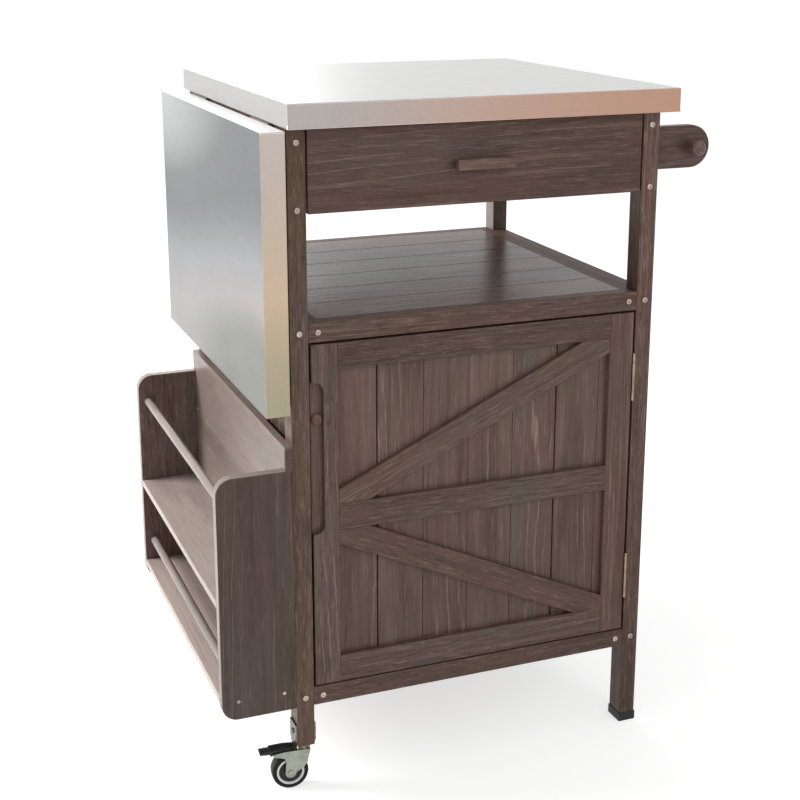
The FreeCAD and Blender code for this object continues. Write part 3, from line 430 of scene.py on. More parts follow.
# Shapes of the heads: corners, a rounded rim as a share of the height and in steps, and the cross
# recess, its length and width as shares of the radius and its rise as a share of the height
SCREW_SIDES = 24
SCREW_ROUND = 0.55
SCREW_ROUND_STEPS = 3
BRAD_SIDES = 12
BRAD_ROUND = 0.8
BRAD_ROUND_STEPS = 2
CROSS_LENGTH = 1.3
CROSS_WIDTH = 0.25
CROSS_RISE = 0.85

# Places of the screws and brads: the two plate faces on x in metres, all else in millimetres
DOOR_PLATE_FACE = 0.2406
FRAME_PLATE_FACE = 0.2414
HINGE_SCREW_RISES = (11.0, 34.0, 57.0)
HINGE_SCREW_DEPTHS = (5.0, 10.0, 5.0)
PULL_SCREW_IN = 8.5
BRAD_IN = (9.0, 21.0)
BRAD_RISES = (15.0, 31.0, 224.0, 240.0, 437.0, 453.0)


class Sheet:
    """A material's node sheet with short calls for the nodes that the finishes use."""

    def __init__(self, name):
        self.material = bpy.data.materials.new(name)
        self.material.use_nodes = True
        self.tree = self.material.node_tree
        self.shader = self.tree.nodes["Principled BSDF"]

    def feed(self, socket, value):
        """Sets a socket to a plain value, or joins it to another node's output."""
        if isinstance(value, bpy.types.NodeSocket):
            self.tree.links.new(value, socket)
        elif isinstance(value, tuple) and len(value) == 3 and socket.type == "RGBA":
            socket.default_value = (*value, 1.0)
        else:
            socket.default_value = value

    def place(self):
        return self.tree.nodes.new("ShaderNodeTexCoord").outputs["Object"]

    def facing(self):
        return self.tree.nodes.new("ShaderNodeTexCoord").outputs["Normal"]

    def maths(self, kind, first, second=None, third=None):
        node = self.tree.nodes.new("ShaderNodeMath")
        node.operation = kind
        for socket, value in zip(node.inputs, (first, second, third)):
            if value is not None:
                self.feed(socket, value)
        return node.outputs[0]

    def vector(self, kind, first, second=None):
        node = self.tree.nodes.new("ShaderNodeVectorMath")
        node.operation = kind
        self.feed(node.inputs[0], first)
        if second is not None:
            self.feed(node.inputs[1], second)
        return node.outputs["Value"] if kind in ("LENGTH", "DOT_PRODUCT") else node.outputs["Vector"]

    def split(self, vector):
        node = self.tree.nodes.new("ShaderNodeSeparateXYZ")
        self.feed(node.inputs[0], vector)
        return node.outputs[0], node.outputs[1], node.outputs[2]

    def whole(self, x, y, z):
        node = self.tree.nodes.new("ShaderNodeCombineXYZ")
        for socket, value in zip(node.inputs, (x, y, z)):
            self.feed(socket, value)
        return node.outputs[0]

    def noise(self, place, scale, detail, rough):
        """Soft noise with the given lines per metre on each axis; returns its strength from 0 to 1."""
        node = self.tree.nodes.new("ShaderNodeTexNoise")
        self.feed(node.inputs["Vector"], self.vector("MULTIPLY", place, scale))
        node.inputs["Scale"].default_value = 1.0
        node.inputs["Detail"].default_value = detail
        node.inputs["Roughness"].default_value = rough
        return node.outputs["Fac"]

    def random(self, vector):
        """Three random shares that are the same wherever the vector is the same."""
        node = self.tree.nodes.new("ShaderNodeTexWhiteNoise")
        node.noise_dimensions = "3D"
        self.feed(node.inputs["Vector"], vector)
        return node.outputs["Color"]

    def ramp(self, value, *stops):
        """A curve of (place, shade) stops; a shade is a number or a colour."""
        node = self.tree.nodes.new("ShaderNodeValToRGB")
        points = node.color_ramp.elements
        while len(points) < len(stops):
            points.new(0.5)
        for point, (place, shade) in zip(points, stops):
            point.position = place
            point.color = (*shade, 1.0) if isinstance(shade, tuple) else (shade, shade, shade, 1.0)
        self.feed(node.inputs[0], value)
        return node.outputs[0]

    def step(self, value, low, high, start=0.0, end=1.0):
        """A smooth step of value from low to high, given as shares from start to end."""
        node = self.tree.nodes.new("ShaderNodeMapRange")
        node.interpolation_type = "SMOOTHSTEP"
        for name, number in (("From Min", low), ("From Max", high), ("To Min", start), ("To Max", end)):
            node.inputs[name].default_value = number
        self.feed(node.inputs["Value"], value)
        return node.outputs[0]

    def mix(self, share, first, second):
        node = self.tree.nodes.new("ShaderNodeMix")
        node.data_type = "RGBA"
        colours = [socket for socket in node.inputs if socket.type == "RGBA"]
        self.feed(node.inputs[0], share)
        self.feed(colours[0], first)
        self.feed(colours[1], second)
        return next(socket for socket in node.outputs if socket.type == "RGBA")

    def lay(self, colour, over, value, *limits):
        """Lays a second colour over the first, as strongly as a smooth step of value says."""
        return self.mix(self.step(value, *limits), colour, over)

    def shade(self, colour, strength):
        return self.vector("MULTIPLY", colour, self.whole(strength, strength, strength))

    def bump(self, height, depth, strength):
        """Relief of the given depth in metres from a height between 0 and 1."""
        node = self.tree.nodes.new("ShaderNodeBump")
        node.inputs["Strength"].default_value = strength
        node.inputs["Distance"].default_value = depth
        self.feed(node.inputs["Height"], height)
        return node.outputs[0]

    def set(self, **values):
        for name, value in values.items():
            self.feed(self.shader.inputs[name.replace("_", " ")], value)


def grain_place(sheet, grain, turn=0.0):
    """Object coordinates as (along the grain, across it, into the board), turned about y if needed."""
    place = sheet.place()
    if turn:
        node = sheet.tree.nodes.new("ShaderNodeVectorRotate")
        node.rotation_type = "Y_AXIS"
        node.inputs["Angle"].default_value = turn
        sheet.feed(node.inputs["Vector"], place)
        place = node.outputs[0]
    axes = sheet.split(place)
    return sheet.whole(*(axes[index] for index in GRAIN_AXES[grain]))


def board_grid(**axes):
    """A grid with one board in each cell, from (a board's width, start) for each axis it divides."""
    cell = [FAR_AWAY] * 3
    start = [-FAR_AWAY / 2] * 3
    for axis, (width, first) in axes.items():
        cell["xyz".index(axis)] = width
        start["xyz".index(axis)] = first
    return {"cell": tuple(cell), "start": tuple(start)}


def board_shares(sheet, cell, start, seed):
    """Random shares for each board of a grid."""
    place = sheet.vector("SUBTRACT", sheet.place(), start)
    corner = sheet.vector("FLOOR", sheet.vector("DIVIDE", place, cell))
    return sheet.random(sheet.vector("ADD", corner, tuple(seed * part for part in SEED_SPREAD)))


def wood_figure(sheet, place, shares, slant=SLANT, spacing=RING_SPACING):
    """Ring lines, fibres and soft bands of a board, each from 0 to 1, and its own shifted place."""
    share_a, share_b, share_c = sheet.split(shares)
    along, across, depth = sheet.split(place)
    shifted = sheet.vector("ADD", place, sheet.vector("MULTIPLY", shares, (FAR_AWAY,) * 3))
    lean = sheet.maths("MULTIPLY_ADD", share_b, slant, -slant / 2)
    pith_side = sheet.maths("MULTIPLY_ADD", share_a, PITH_SHIFT * 2, -PITH_SHIFT)
    pith_side = sheet.maths("MULTIPLY_ADD", along, lean, pith_side)
    pith_depth = sheet.maths("MULTIPLY_ADD", share_c, PITH_DEPTH, PITH_DEPTH / 3)
    side = sheet.maths("ADD", across, pith_side)
    down = sheet.maths("ADD", depth, pith_depth)
    radius = sheet.vector("LENGTH", sheet.whole(0.0, side, down))
    radius = sheet.maths("MULTIPLY_ADD", sheet.noise(shifted, *WANDER), RING_WANDER, radius)
    radius = sheet.maths("MULTIPLY_ADD", sheet.noise(shifted, *RIPPLE), RING_RIPPLE, radius)
    ring = sheet.maths("FRACT", sheet.maths("DIVIDE", radius, spacing))
    wide = RING_LINE / spacing
    stops = [(RING_END - wide * before, strength) for before, strength in RING_PROFILE]
    line = sheet.ramp(ring, (0.0, 0.0), *stops)
    return line, sheet.noise(shifted, *FIBRE), sheet.noise(shifted, *BAND), shifted


def raised_lines(sheet, line, shifted, lines):
    """The ring lines that the brush has raised: they come in groups and break along the grain."""
    low, high = (limit - LINES_WIDEN * lines for limit in LINE_GROUPS)
    groups = sheet.step(sheet.noise(shifted, *LINE_GROUP), low, high, LINE_LEAST, 1.0)
    breaks = sheet.step(sheet.noise(shifted, *LINE_BREAK), *LINE_BREAKS)
    return sheet.maths("MULTIPLY", line, sheet.maths("MULTIPLY", groups, breaks))


def rubbed_and_highlit_edges(sheet, shifted):
    """Paler edges, partly where handling has rubbed the stain off and partly a painted highlight where
    edges catch light: near an edge, in uneven stretches.
    """
    bevel = sheet.tree.nodes.new("ShaderNodeBevel")
    bevel.samples = EDGE_SAMPLES
    bevel.inputs["Radius"].default_value = EDGE_RADIUS
    flat = sheet.tree.nodes.new("ShaderNodeNewGeometry").outputs["Normal"]
    edge = sheet.step(sheet.vector("DOT_PRODUCT", bevel.outputs[0], flat), *EDGE_BEND)
    return sheet.maths("MULTIPLY", edge, sheet.step(sheet.noise(shifted, *RUB_PATCH), *RUBBED_AND_HIGHLIT))


def painted_light_facing(sheet):
    """1 on faces that look up or to the left, which get painted light over the stain."""
    left, _, up = sheet.split(sheet.facing())
    low, high = FACING_LIMITS
    return sheet.maths("MAXIMUM", sheet.step(left, -low, -high), sheet.step(up, low, high))


def stained_wood(
    name,
    grain,
    seed,
    cell=(FAR_AWAY,) * 3,
    start=(-FAR_AWAY / 2,) * 3,
    turn=0.0,
    satin=0.30,
    tone=1.0,
    grey=0.0,
    lines=0.35,
    stain=STAIN,
    slant=SLANT,
    painted_light=0.0,
    spacing=RING_SPACING,
    fibres=0.48,
    flecks=0.7,
    lighter_above=None,
):
    """Brushed softwood under a dark stain: thin raised pale grain, darker hollows, a satin coat."""
    sheet = Sheet(name)
    shares = board_shares(sheet, cell, start, seed)
    place = grain_place(sheet, grain, turn)
    line, fibre, band, shifted = wood_figure(sheet, place, shares, slant, spacing)
    raised = raised_lines(sheet, line, shifted, lines)
    cloud = sheet.noise(shifted, *CLOUD)
    tint = sheet.noise(shifted, *TINT)
    scratch = sheet.noise(shifted, *SCRATCH)
    fleck = sheet.noise(shifted, *FLECK)

    colour = sheet.lay(stain, STAIN_RED, tint, *RED_TINT)
    colour = sheet.lay(colour, STAIN_GREEN, tint, *GREEN_TINT)
    colour = sheet.lay(colour, STAIN_GREY, cloud, *GREY_CLOUDS, grey, min(1.0, grey + CLOUDS_GREYER))
    colour = sheet.lay(colour, STAIN_DARK, cloud, *DARK_CLOUDS)
    colour = sheet.lay(colour, STAIN_DARK, band, *DARK_BANDS)
    colour = sheet.lay(colour, STAIN_PALE, band, *PALE_BANDS)
    colour = sheet.lay(colour, STAIN_DARK, fibre, *DARK_FIBRES, fibres)
    colour = sheet.mix(sheet.maths("MULTIPLY", raised, LINE_STRENGTH), colour, STAIN_PALE)
    colour = sheet.lay(colour, STAIN_PALE, scratch, *SCRATCHES)
    colour = sheet.lay(colour, STAIN_PALE, fleck, *PALE_FLECKS, flecks * PALE_FLECK_SHARE)
    colour = sheet.lay(colour, STAIN_DARK, fleck, *DARK_FLECKS, flecks * DARK_FLECK_SHARE)
    # Paler edges: rubbed stain and painted highlight
    colour = sheet.mix(rubbed_and_highlit_edges(sheet, shifted), colour, STAIN_PALE)
    # Painted light: faces that look up or left are painted paler, as if lit
    if painted_light:
        pale = tuple(part / min(tone, 1.0) for part in STAIN_PAINTED_LIGHT)
        pale = sheet.lay(pale, STAIN_GREY, fibre, *PAINTED_LIGHT_FIBRES)
        pale = sheet.lay(pale, STAIN_GREY, cloud, *PAINTED_LIGHT_CLOUDS)
        colour = sheet.mix(sheet.maths("MULTIPLY", painted_light_facing(sheet), painted_light), colour, pale)

    own = sheet.step(sheet.split(shares)[2], 0.0, 1.0, *(tone * part for part in BOARD_TONES))
    # Some pieces are darker below a height and lighter above it
    if lighter_above:
        rise = sheet.split(sheet.place())[2]
        rise = sheet.step(rise, lighter_above - LIGHTER_ABOVE_REACH, lighter_above + LIGHTER_ABOVE_REACH, *BELOW_ABOVE_TONES)
        own = sheet.maths("MULTIPLY", own, rise)
    height = sheet.maths("MULTIPLY", fibre, FIBRE_RELIEF)
    height = sheet.maths("MULTIPLY_ADD", raised, LINE_RELIEF, height)
    sheet.set(
        Base_Color=sheet.shade(colour, own),
        Roughness=sheet.step(fibre, *FIBRE_LIMITS, satin + SATIN_LOOSE, satin - SATIN_TIGHT),
        Normal=sheet.bump(height, *STAINED_BUMP),
        Specular_IOR_Level=WOOD_SHINE,
    )
    return sheet.material


def raw_wood(name, grain, seed):
    """Unstained softwood of the drawer box, its bottom and the steel slabs' cores."""
    sheet = Sheet(name)
    shares = board_shares(sheet, seed=seed, **board_grid())
    line, fibre, band, _ = wood_figure(sheet, grain_place(sheet, grain), shares)
    colour = sheet.mix(sheet.maths("MULTIPLY", line, RAW_LINES), RAW_WOOD, RAW_WOOD_DARK)
    height = sheet.maths("MULTIPLY", band, RAW_BAND_RELIEF)
    height = sheet.maths("MULTIPLY_ADD", fibre, RAW_FIBRE_RELIEF, height)
    sheet.set(
        Base_Color=sheet.lay(colour, RAW_WOOD_DARK, fibre, *RAW_FIBRES),
        Roughness=sheet.step(fibre, *FIBRE_LIMITS, *RAW_ROUGH),
        Normal=sheet.bump(height, *RAW_BUMP),
    )
    return sheet.material


def near_face(sheet, value, face):
    """1 on the lip that faces the low end of an axis, and 0 elsewhere."""
    return sheet.step(value, face + LIP_START, face + LIP_FULL)


def worktop_painted_light(sheet):
    """Nearly white on top, with painted shade on the left lip; the front lip's painted warm reflection
    grows from left to right.
    """
    low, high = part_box("worktop_skin")
    x, y, _ = sheet.split(sheet.place())
    warm = sheet.ramp(sheet.step(x, low.x, high.x), *WORKTOP_LIP_REFLECTION)
    top = sheet.mix(near_face(sheet, x, low.x), STEEL_TOP, STEEL_LEFT_SHADE)
    return sheet.mix(near_face(sheet, y, low.y), top, warm)


def leaf_painted_reflection(sheet):
    """The hanging leaf's painted reflection: pale at its top, then cool and darker, then pale, with a
    greenish foot; a painted highlight on its top edge and a warm painted reflection on its front lip.
    """
    low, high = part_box("leaf_skin")
    _, y, z = sheet.split(sheet.place())
    fall = sheet.step(z, high.z, low.z)
    fall = sheet.maths("ADD", fall, sheet.step(y, high.y, low.y, 0.0, LEAF_REFLECTION_LEAN))
    face = sheet.ramp(sheet.maths("MULTIPLY", fall, 1.0 / (1.0 + LEAF_REFLECTION_LEAN)), *LEAF_FACE_REFLECTION)
    face = sheet.lay(face, LEAF_TOP_HIGHLIGHT, sheet.split(sheet.facing())[2], *LEAF_TOP_HIGHLIGHT_LIMITS)
    warm = sheet.ramp(sheet.step(z, low.z, high.z), *LEAF_LIP_REFLECTION)
    return sheet.mix(near_face(sheet, y, low.y), face, warm)


def satin_steel(name, painted_colour, rough):
    """Satin sheet steel, brushed along y, with faint handling clouds, over colours with painted light.
    """
    sheet = Sheet(name)
    place = sheet.place()
    brushing = sheet.noise(place, *BRUSHING)
    brush_band = sheet.noise(place, *BRUSH_BAND)
    handling = sheet.noise(place, *HANDLING)
    smudge = sheet.noise(place, *SMUDGE)
    brush_band = sheet.step(brush_band, *BRUSH_BAND_SHADE)
    strength = sheet.maths("MULTIPLY", sheet.step(brushing, *BRUSHING_SHADE), brush_band)
    strength = sheet.maths("MULTIPLY", strength, sheet.step(smudge, *SMUDGE_SHADE))
    polish = sheet.maths("MULTIPLY_ADD", handling, HANDLING_ROUGH, rough - HANDLING_ROUGH / 2)
    polish = sheet.maths("MULTIPLY_ADD", smudge, SMUDGE_ROUGH, polish)
    sheet.set(
        Base_Color=sheet.shade(painted_colour(sheet), strength),
        Metallic=1.0,
        Roughness=sheet.maths("MULTIPLY_ADD", brushing, BRUSHING_ROUGH, polish),
        Normal=sheet.bump(brushing, *BRUSHING_BUMP),
    )
    return sheet.material


def plated(name, colour, spot, rough):
    """Plated steel: a grey metal with the cloudy spangle of its passivation."""
    sheet = Sheet(name)
    place = sheet.place()
    spangle = sheet.noise(place, *SPANGLE)
    sheet.set(
        Base_Color=sheet.lay(colour, spot, spangle, *SPANGLE_LIMITS),
        Metallic=1.0,
        Roughness=sheet.maths("MULTIPLY_ADD", spangle, SPANGLE_ROUGH, rough),
        Normal=sheet.bump(sheet.noise(place, *PLATE_GRAIN), *PLATE_BUMP),
    )
    return sheet.material


def moulded(name, colour, rough, grains, shine):
    """Moulded plastic or rubber with the fine grain of its mould and a little dust."""
    sheet = Sheet(name)
    place = sheet.place()
    dust = sheet.noise(place, *DUST)
    dusty = tuple(part * DUST_GAIN + DUST_FILM for part in colour)
    sheet.set(
        Base_Color=sheet.lay(colour, dusty, dust, *DUST_LAYER),
        Roughness=sheet.maths("MULTIPLY_ADD", dust, DUST_ROUGH, rough),
        Normal=sheet.bump(sheet.noise(place, (grains,) * 3, *MOULD_GRAIN), *MOULD_BUMP),
        Specular_IOR_Level=shine,
    )
    return sheet.material


def wheel_plastic(name, joint_name):
    """The wheel's core: a pale rim round a dark web and hub."""
    sheet = Sheet(name)
    joint = joints[joint_name]
    from_axle = sheet.vector("SUBTRACT", sheet.place(), tuple(joint["pos_m"]))
    radius = sheet.vector("LENGTH", sheet.vector("CROSS_PRODUCT", from_axle, tuple(joint["axis"])))
    grain = sheet.noise(sheet.place(), *WHEEL_GRAIN)
    sheet.set(
        Base_Color=sheet.lay(HUB_DARK, RIM_PALE, radius, RIM_START - RIM_SOFT, RIM_START + RIM_SOFT),
        Roughness=sheet.maths("MULTIPLY_ADD", grain, *WHEEL_ROUGH),
        Normal=sheet.bump(grain, *WHEEL_BUMP),
        Specular_IOR_Level=WHEEL_SHINE,
    )
    return sheet.material


def set_finish(name, material):
    for slot in nodes[name].material_slots:
        slot.material = material


def slope(name):
    """The angle at which a diagonal brace climbs across its own box."""
    low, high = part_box(name)
    return math.atan2(high.z - low.z, high.x - low.x)


def board_layouts():
    """Where the boards lie in each piece that is made of several, and how the braces are turned."""
    side_low, side_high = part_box("side_boards_left")
    back_low, back_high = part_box("back_boards")
    deck_low, deck_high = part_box("shelf_boards")
    rails_low, rails_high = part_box("door_rails")
    door_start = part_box("door_boards")[0].x + DOOR_FIRST_JOINT - DOOR_BOARD
    side_walls = board_grid(y=((side_high.y - side_low.y) / SIDE_BOARDS, side_low.y))
    decks = board_grid(y=((deck_high.y - deck_low.y) / DECK_BOARDS, deck_low.y))
    rail_step = (rails_high.z - rails_low.z) / 2
    return {
        "side_rails": board_grid(x=SIDES, z=DECK_LEVELS),
        "deck_battens": board_grid(x=SIDES, z=DECK_LEVELS),
        "floor_boards": decks,
        "shelf_boards": decks,
        "side_boards_left": side_walls,
        "side_boards_right": side_walls,
        "back_boards": board_grid(x=((back_high.x - back_low.x) / BACK_BOARDS, back_low.x)),
        "top_side_rails": board_grid(x=SIDES),
        "top_cross_rails": board_grid(y=SIDES),
        "door_boards": board_grid(x=(DOOR_BOARD, door_start)),
        "door_rails": board_grid(z=(rail_step, rails_low.z - rail_step / 2)),
        "door_brace_upper": {"turn": slope("door_brace_upper")},
        "door_brace_lower": {"turn": -slope("door_brace_lower")},
        "handle_arms": board_grid(y=SIDES),
        "rack_shelves": board_grid(z=RACK_LEVELS),
        "rack_rods": board_grid(z=ROD_LEVELS),
    }


def finish_wood():
    """Gives each wooden node a finish whose grain runs along its boards."""
    layouts = board_layouts()
    for seed, (name, (grain, look)) in enumerate(WOOD_LOOKS.items(), start=1):
        layout = layouts.get(name, {})
        set_finish(name, stained_wood("stained_" + name, grain, float(seed), **layout, **look))
    for name, (grain, seed) in RAW_LOOKS.items():
        set_finish(name, raw_wood("raw_" + name, grain, seed))


def finish_fittings():
    """Finishes all that isn't wood, and returns the finishes by name."""
    finishes = {name: plated(name, *look) for name, look in PLATED.items()}
    for name, look in MOULDED.items():
        finishes[name] = moulded(name, *look)
    finishes["satin_steel_worktop_painted_light"] = satin_steel("satin_steel_worktop_painted_light", worktop_painted_light, WORKTOP_ROUGH)
    finishes["satin_steel_leaf_painted_reflection"] = satin_steel("satin_steel_leaf_painted_reflection", leaf_painted_reflection, LEAF_ROUGH)
    for finish, wearers in FITTINGS.items():
        for name in wearers:
            set_finish(name, finishes[finish])
    for end in ("front", "rear"):
        set_finish(end + "_caster_core", wheel_plastic(end + "_wheel_plastic", end + "_wheel_roll"))
    return finishes


def clear_choice():
    bpy.ops.object.select_all(action="DESELECT")


def choose(*chosen):
    clear_choice()
    for piece in chosen:
        piece.select_set(True)
    bpy.context.view_layer.objects.active = chosen[0]


def begin(name, primitive, **sizes):
    """Adds a primitive under its piece's name and opens it for editing, all of it selected."""
    clear_choice()
    primitive(**sizes)
    piece = bpy.context.object
    piece.name = piece.data.name = name
    bpy.ops.object.mode_set(mode="EDIT")
    bpy.ops.mesh.select_mode(type="VERT")
    bpy.ops.mesh.select_all(action="SELECT")
    return piece


def leave_edit(piece):
    """Welds the piece's doubles, turns its faces outwards and leaves edit mode."""
    if piece.mode == "EDIT":
        bpy.ops.mesh.select_all(action="SELECT")
        bpy.ops.mesh.remove_doubles(threshold=WELD)
        bpy.ops.mesh.normals_make_consistent(inside=False)
        bpy.ops.object.mode_set(mode="OBJECT")


def close(piece, smooth=SMOOTH_UNDER):
    """Puts the piece's place into its mesh, and smooths its shallow edges."""
    leave_edit(piece)
    choose(piece)
    bpy.ops.object.transform_apply(location=True, rotation=True, scale=True)
    bpy.ops.object.shade_smooth_by_angle(angle=math.radians(smooth))
    clear_choice()


def pick(kind, test):
    """Selects the faces, edges or corners, in edit mode, whose place and facing pass the test."""
    bpy.ops.mesh.select_mode(type=kind)
    bpy.ops.mesh.select_all(action="DESELECT")
    data = bpy.context.object.data
    mesh = bmesh.from_edit_mesh(data)
    if kind == "FACE":
        found = [(face, face.calc_center_median(), face.normal) for face in mesh.faces]
    elif kind == "EDGE":
        ends = [(edge, *edge.verts) for edge in mesh.edges]
        found = [(edge, (one.co + other.co) / 2, one.normal) for edge, one, other in ends]
    else:
        found = [(corner, corner.co, corner.normal) for corner in mesh.verts]
    for item, place, facing in found:
        if test(place, facing):
            item.select_set(True)
    mesh.select_flush_mode()
    bmesh.update_edit_mesh(data)


def shift(x=0.0, y=0.0, z=0.0):
    bpy.ops.transform.translate(value=(x, y, z))


def pull_out(x=0.0, y=0.0, z=0.0):
    bpy.ops.mesh.extrude_region_move(TRANSFORM_OT_translate={"value": (x, y, z)})


def cut_across(x, beyond=None):
    """Cuts the piece in edit mode across x, everywhere or only in the faces beyond a place on x."""
    pick("FACE", lambda place, facing: beyond is None or place.x > beyond)
    bpy.ops.mesh.bisect(plane_co=(x, 0.0, 0.0), plane_no=(1.0, 0.0, 0.0))


def apply_modifier(piece, kind, **values):
    choose(piece)
    modifier = piece.modifiers.new(kind.lower(), kind)
    for name, value in values.items():
        setattr(modifier, name, value)
    bpy.ops.object.modifier_apply(modifier=modifier.name)


def soften(piece, width):
    """Rounds the piece's sharp edges."""
    leave_edit(piece)
    sharp = {"limit_method": "ANGLE", "angle_limit": math.radians(SOFT_ANGLE)}
    apply_modifier(piece, "BEVEL", width=width, segments=SOFT_STEPS, **sharp)


def spun(name, centre, axis, profile, steps):
    """A ring: a line drawn through (radius, distance along the axis) points and spun about the axis."""
    out = axis.cross(Vector((1.0, 0.0, 0.0))).normalized()
    places = [centre + out * radius + axis * along for radius, along in profile]
    piece = begin(name, bpy.ops.mesh.primitive_plane_add, size=profile[0][0])
    bpy.ops.mesh.merge(type="CENTER")
    shift(*places[0])
    for before, after in zip(places, places[1:]):
        pull_out(*(after - before))
    bpy.ops.mesh.select_all(action="SELECT")
    bpy.ops.mesh.spin(steps=steps, angle=math.tau, center=centre, axis=axis)
    return piece


def finished(piece, body, slot, material, *stands_for):
    """Gives a piece its finish and the body it rides on, and hides the nodes that it stands for; the
    slot is not used.
    """
    piece.data.materials.clear()
    piece.data.materials.append(material)
    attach(piece, body)
    if stands_for:
        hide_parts(*stands_for)


def copy_to(piece, name, offset):
    """A copy with its own mesh, moved by the offset."""
    choose(piece)
    bpy.ops.object.duplicate()
    copy = bpy.context.object
    copy.name = copy.data.name = name
    copy.location = offset
    bpy.ops.object.transform_apply(location=True, rotation=True, scale=True)
    clear_choice()
    return copy


def rear_offset():
    """How far the rear caster stands from the front one."""
    return Vector(joints["rear_wheel_roll"]["pos_m"]) - Vector(joints["front_wheel_roll"]["pos_m"])


def add_tyres(rubber):
    """Tyres with a crowned tread, a seam left by the mould, and a step in each side wall."""
    joint = joints["front_wheel_roll"]
    side = [(radius * MM, along * MM) for radius, along in TYRE_HALF]
    profile = [(radius, -along) for radius, along in side] + side[::-1]
    profile.append(profile[0])
    tyre = spun("front_tyre", Vector(joint["pos_m"]), Vector(joint["axis"]), profile, TYRE_STEPS)
    close(tyre, TYRE_SMOOTH_UNDER)
    rear = copy_to(tyre, "rear_tyre", rear_offset())
    finished(tyre, "front_wheel", "tyre_rubber", rubber, "front_caster_tyre")
    finished(rear, "rear_wheel", "tyre_rubber", rubber, "rear_caster_tyre")


def move_end(at_end, middle, moves):
    """Moves the lower and then the upper corners of one end of the pedal."""
    for is_upper, move in zip((False, True), moves):
        pick("VERT", lambda place, facing: at_end(place.x) and (place.z > middle) == is_upper)
        shift(*(part * MM for part in move))


def add_pedals(black):
    """Brake pedals: a body with a sunk top and a narrower tip with ribs for the foot."""
    swivel = Vector(joints["front_swivel_turn"]["pos_m"])
    wheel = Vector(joints["front_wheel_roll"]["pos_m"])
    heel, nose, tip = (place * MM for place in PEDAL_ENDS)
    low, top = (height * MM for height in PEDAL_HEIGHTS)
    middle = (top + low) / 2

    pedal = begin("front_brake_pedal", bpy.ops.mesh.primitive_cube_add, size=1.0)
    bpy.ops.transform.resize(value=(nose - heel, PEDAL_WIDTH * MM, top - low))
    shift((nose + heel) / 2, 0.0, middle)
    cut_across(heel + PEDAL_WAIST * MM)
    move_end(lambda x: x < heel + MM, middle, PEDAL_HEEL_MOVES)
    move_end(lambda x: x > nose - MM, middle, PEDAL_NOSE_MOVES)
    pick("FACE", lambda place, facing: place.x > nose - 2 * MM and facing.x > MOSTLY)
    bpy.ops.mesh.inset(thickness=PEDAL_TIP_BORDER * MM)
    pull_out(x=tip - nose)
    move_end(lambda x: x > tip - 2 * MM, middle, PEDAL_TIP_MOVES)
    pick("FACE", lambda place, facing: place.x < nose and facing.z > SQUARELY)
    bpy.ops.mesh.inset(thickness=PEDAL_TOP_BORDER * MM)
    pull_out(z=-PEDAL_TOP_SUNK * MM)

    ribs_start = nose + PEDAL_RIB_START * MM
    rib_width = PEDAL_RIB_WIDTH * MM
    for step in range(2 * PEDAL_RIBS):
        cut_across(ribs_start + rib_width * step, beyond=nose + 0.2 * MM)
    for rib in range(PEDAL_RIBS):
        rib_x = ribs_start + rib_width * (2 * rib + 0.5)
        pick("FACE", lambda place, facing: abs(place.x - rib_x) < rib_width / 3 and facing.z > SQUARELY)
        pull_out(z=PEDAL_RIB_HEIGHT * MM)
    soften(pedal, PEDAL_ROUND * MM)
    pedal.rotation_euler = (0.0, 0.0, math.atan2(wheel.y - swivel.y, wheel.x - swivel.x))
    pedal.location = (swivel.x, swivel.y, 0.0)
    close(pedal)
    rear = copy_to(pedal, "rear_brake_pedal", rear_offset())
    finished(pedal, "front_brake", "black_plastic", black, "front_caster_brake")
    finished(rear, "rear_brake", "black_plastic", black, "rear_caster_brake")


def fold_hem(hem, body, steel, centre, is_open, fold):
    """Makes a plane a frame of narrow strips, without its open side, and folds it out of the sheet."""
    bpy.ops.mesh.select_mode(type="FACE")
    bpy.ops.mesh.inset(thickness=HEM_WIDTH)
    pick("FACE", lambda place, facing: is_open(place) or (place - centre).length < MM)
    bpy.ops.mesh.delete(type="FACE")
    bpy.ops.mesh.select_all(action="SELECT")
    pull_out(*fold)
    soften(hem, HEM_THICK / 3)
    close(hem)
    finished(hem, body, "satin_steel", steel)


def add_hems(worktop_steel, leaf_steel):
    """The folded edges of the sheet steel: under the worktop, and on the leaf's inner face."""
    low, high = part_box("worktop_skin")
    centre = Vector(((low.x + high.x) / 2, (low.y + high.y) / 2, low.z))
    edge = low.x + HEM_WIDTH
    hem = begin("worktop_hem", bpy.ops.mesh.primitive_plane_add, size=1.0)
    bpy.ops.transform.resize(value=(high.x - low.x, high.y - low.y, 1.0))
    shift(*centre)
    fold_hem(hem, "cart", worktop_steel, centre, lambda place: place.x < edge, (0.0, 0.0, -HEM_THICK))

    low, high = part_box("leaf_skin")
    centre = Vector((high.x, (low.y + high.y) / 2, (low.z + high.z) / 2))
    top = high.z - HEM_WIDTH
    hem = begin("leaf_hem", bpy.ops.mesh.primitive_plane_add, size=1.0)
    bpy.ops.transform.rotate(value=math.pi / 2, orient_axis="Y", center_override=(0.0, 0.0, 0.0))
    bpy.ops.transform.resize(value=(1.0, high.y - low.y, high.z - low.z))
    shift(*centre)
    fold_hem(hem, "leaf", leaf_steel, centre, lambda place: place.z > top, (HEM_THICK, 0.0, 0.0))


def round_head(name, sizes, sides, rim, rim_steps):
    """A round head with a rounded rim, which looks up from the origin."""
    radius, height = (size * MM for size in sizes)
    cylinder = bpy.ops.mesh.primitive_cylinder_add
    head = begin(name, cylinder, vertices=sides, radius=radius, depth=2 * height)
    pick("EDGE", lambda place, facing: place.z > height / 2)
    bpy.ops.mesh.bevel(offset=height * rim, segments=rim_steps)
    leave_edit(head)
    return head


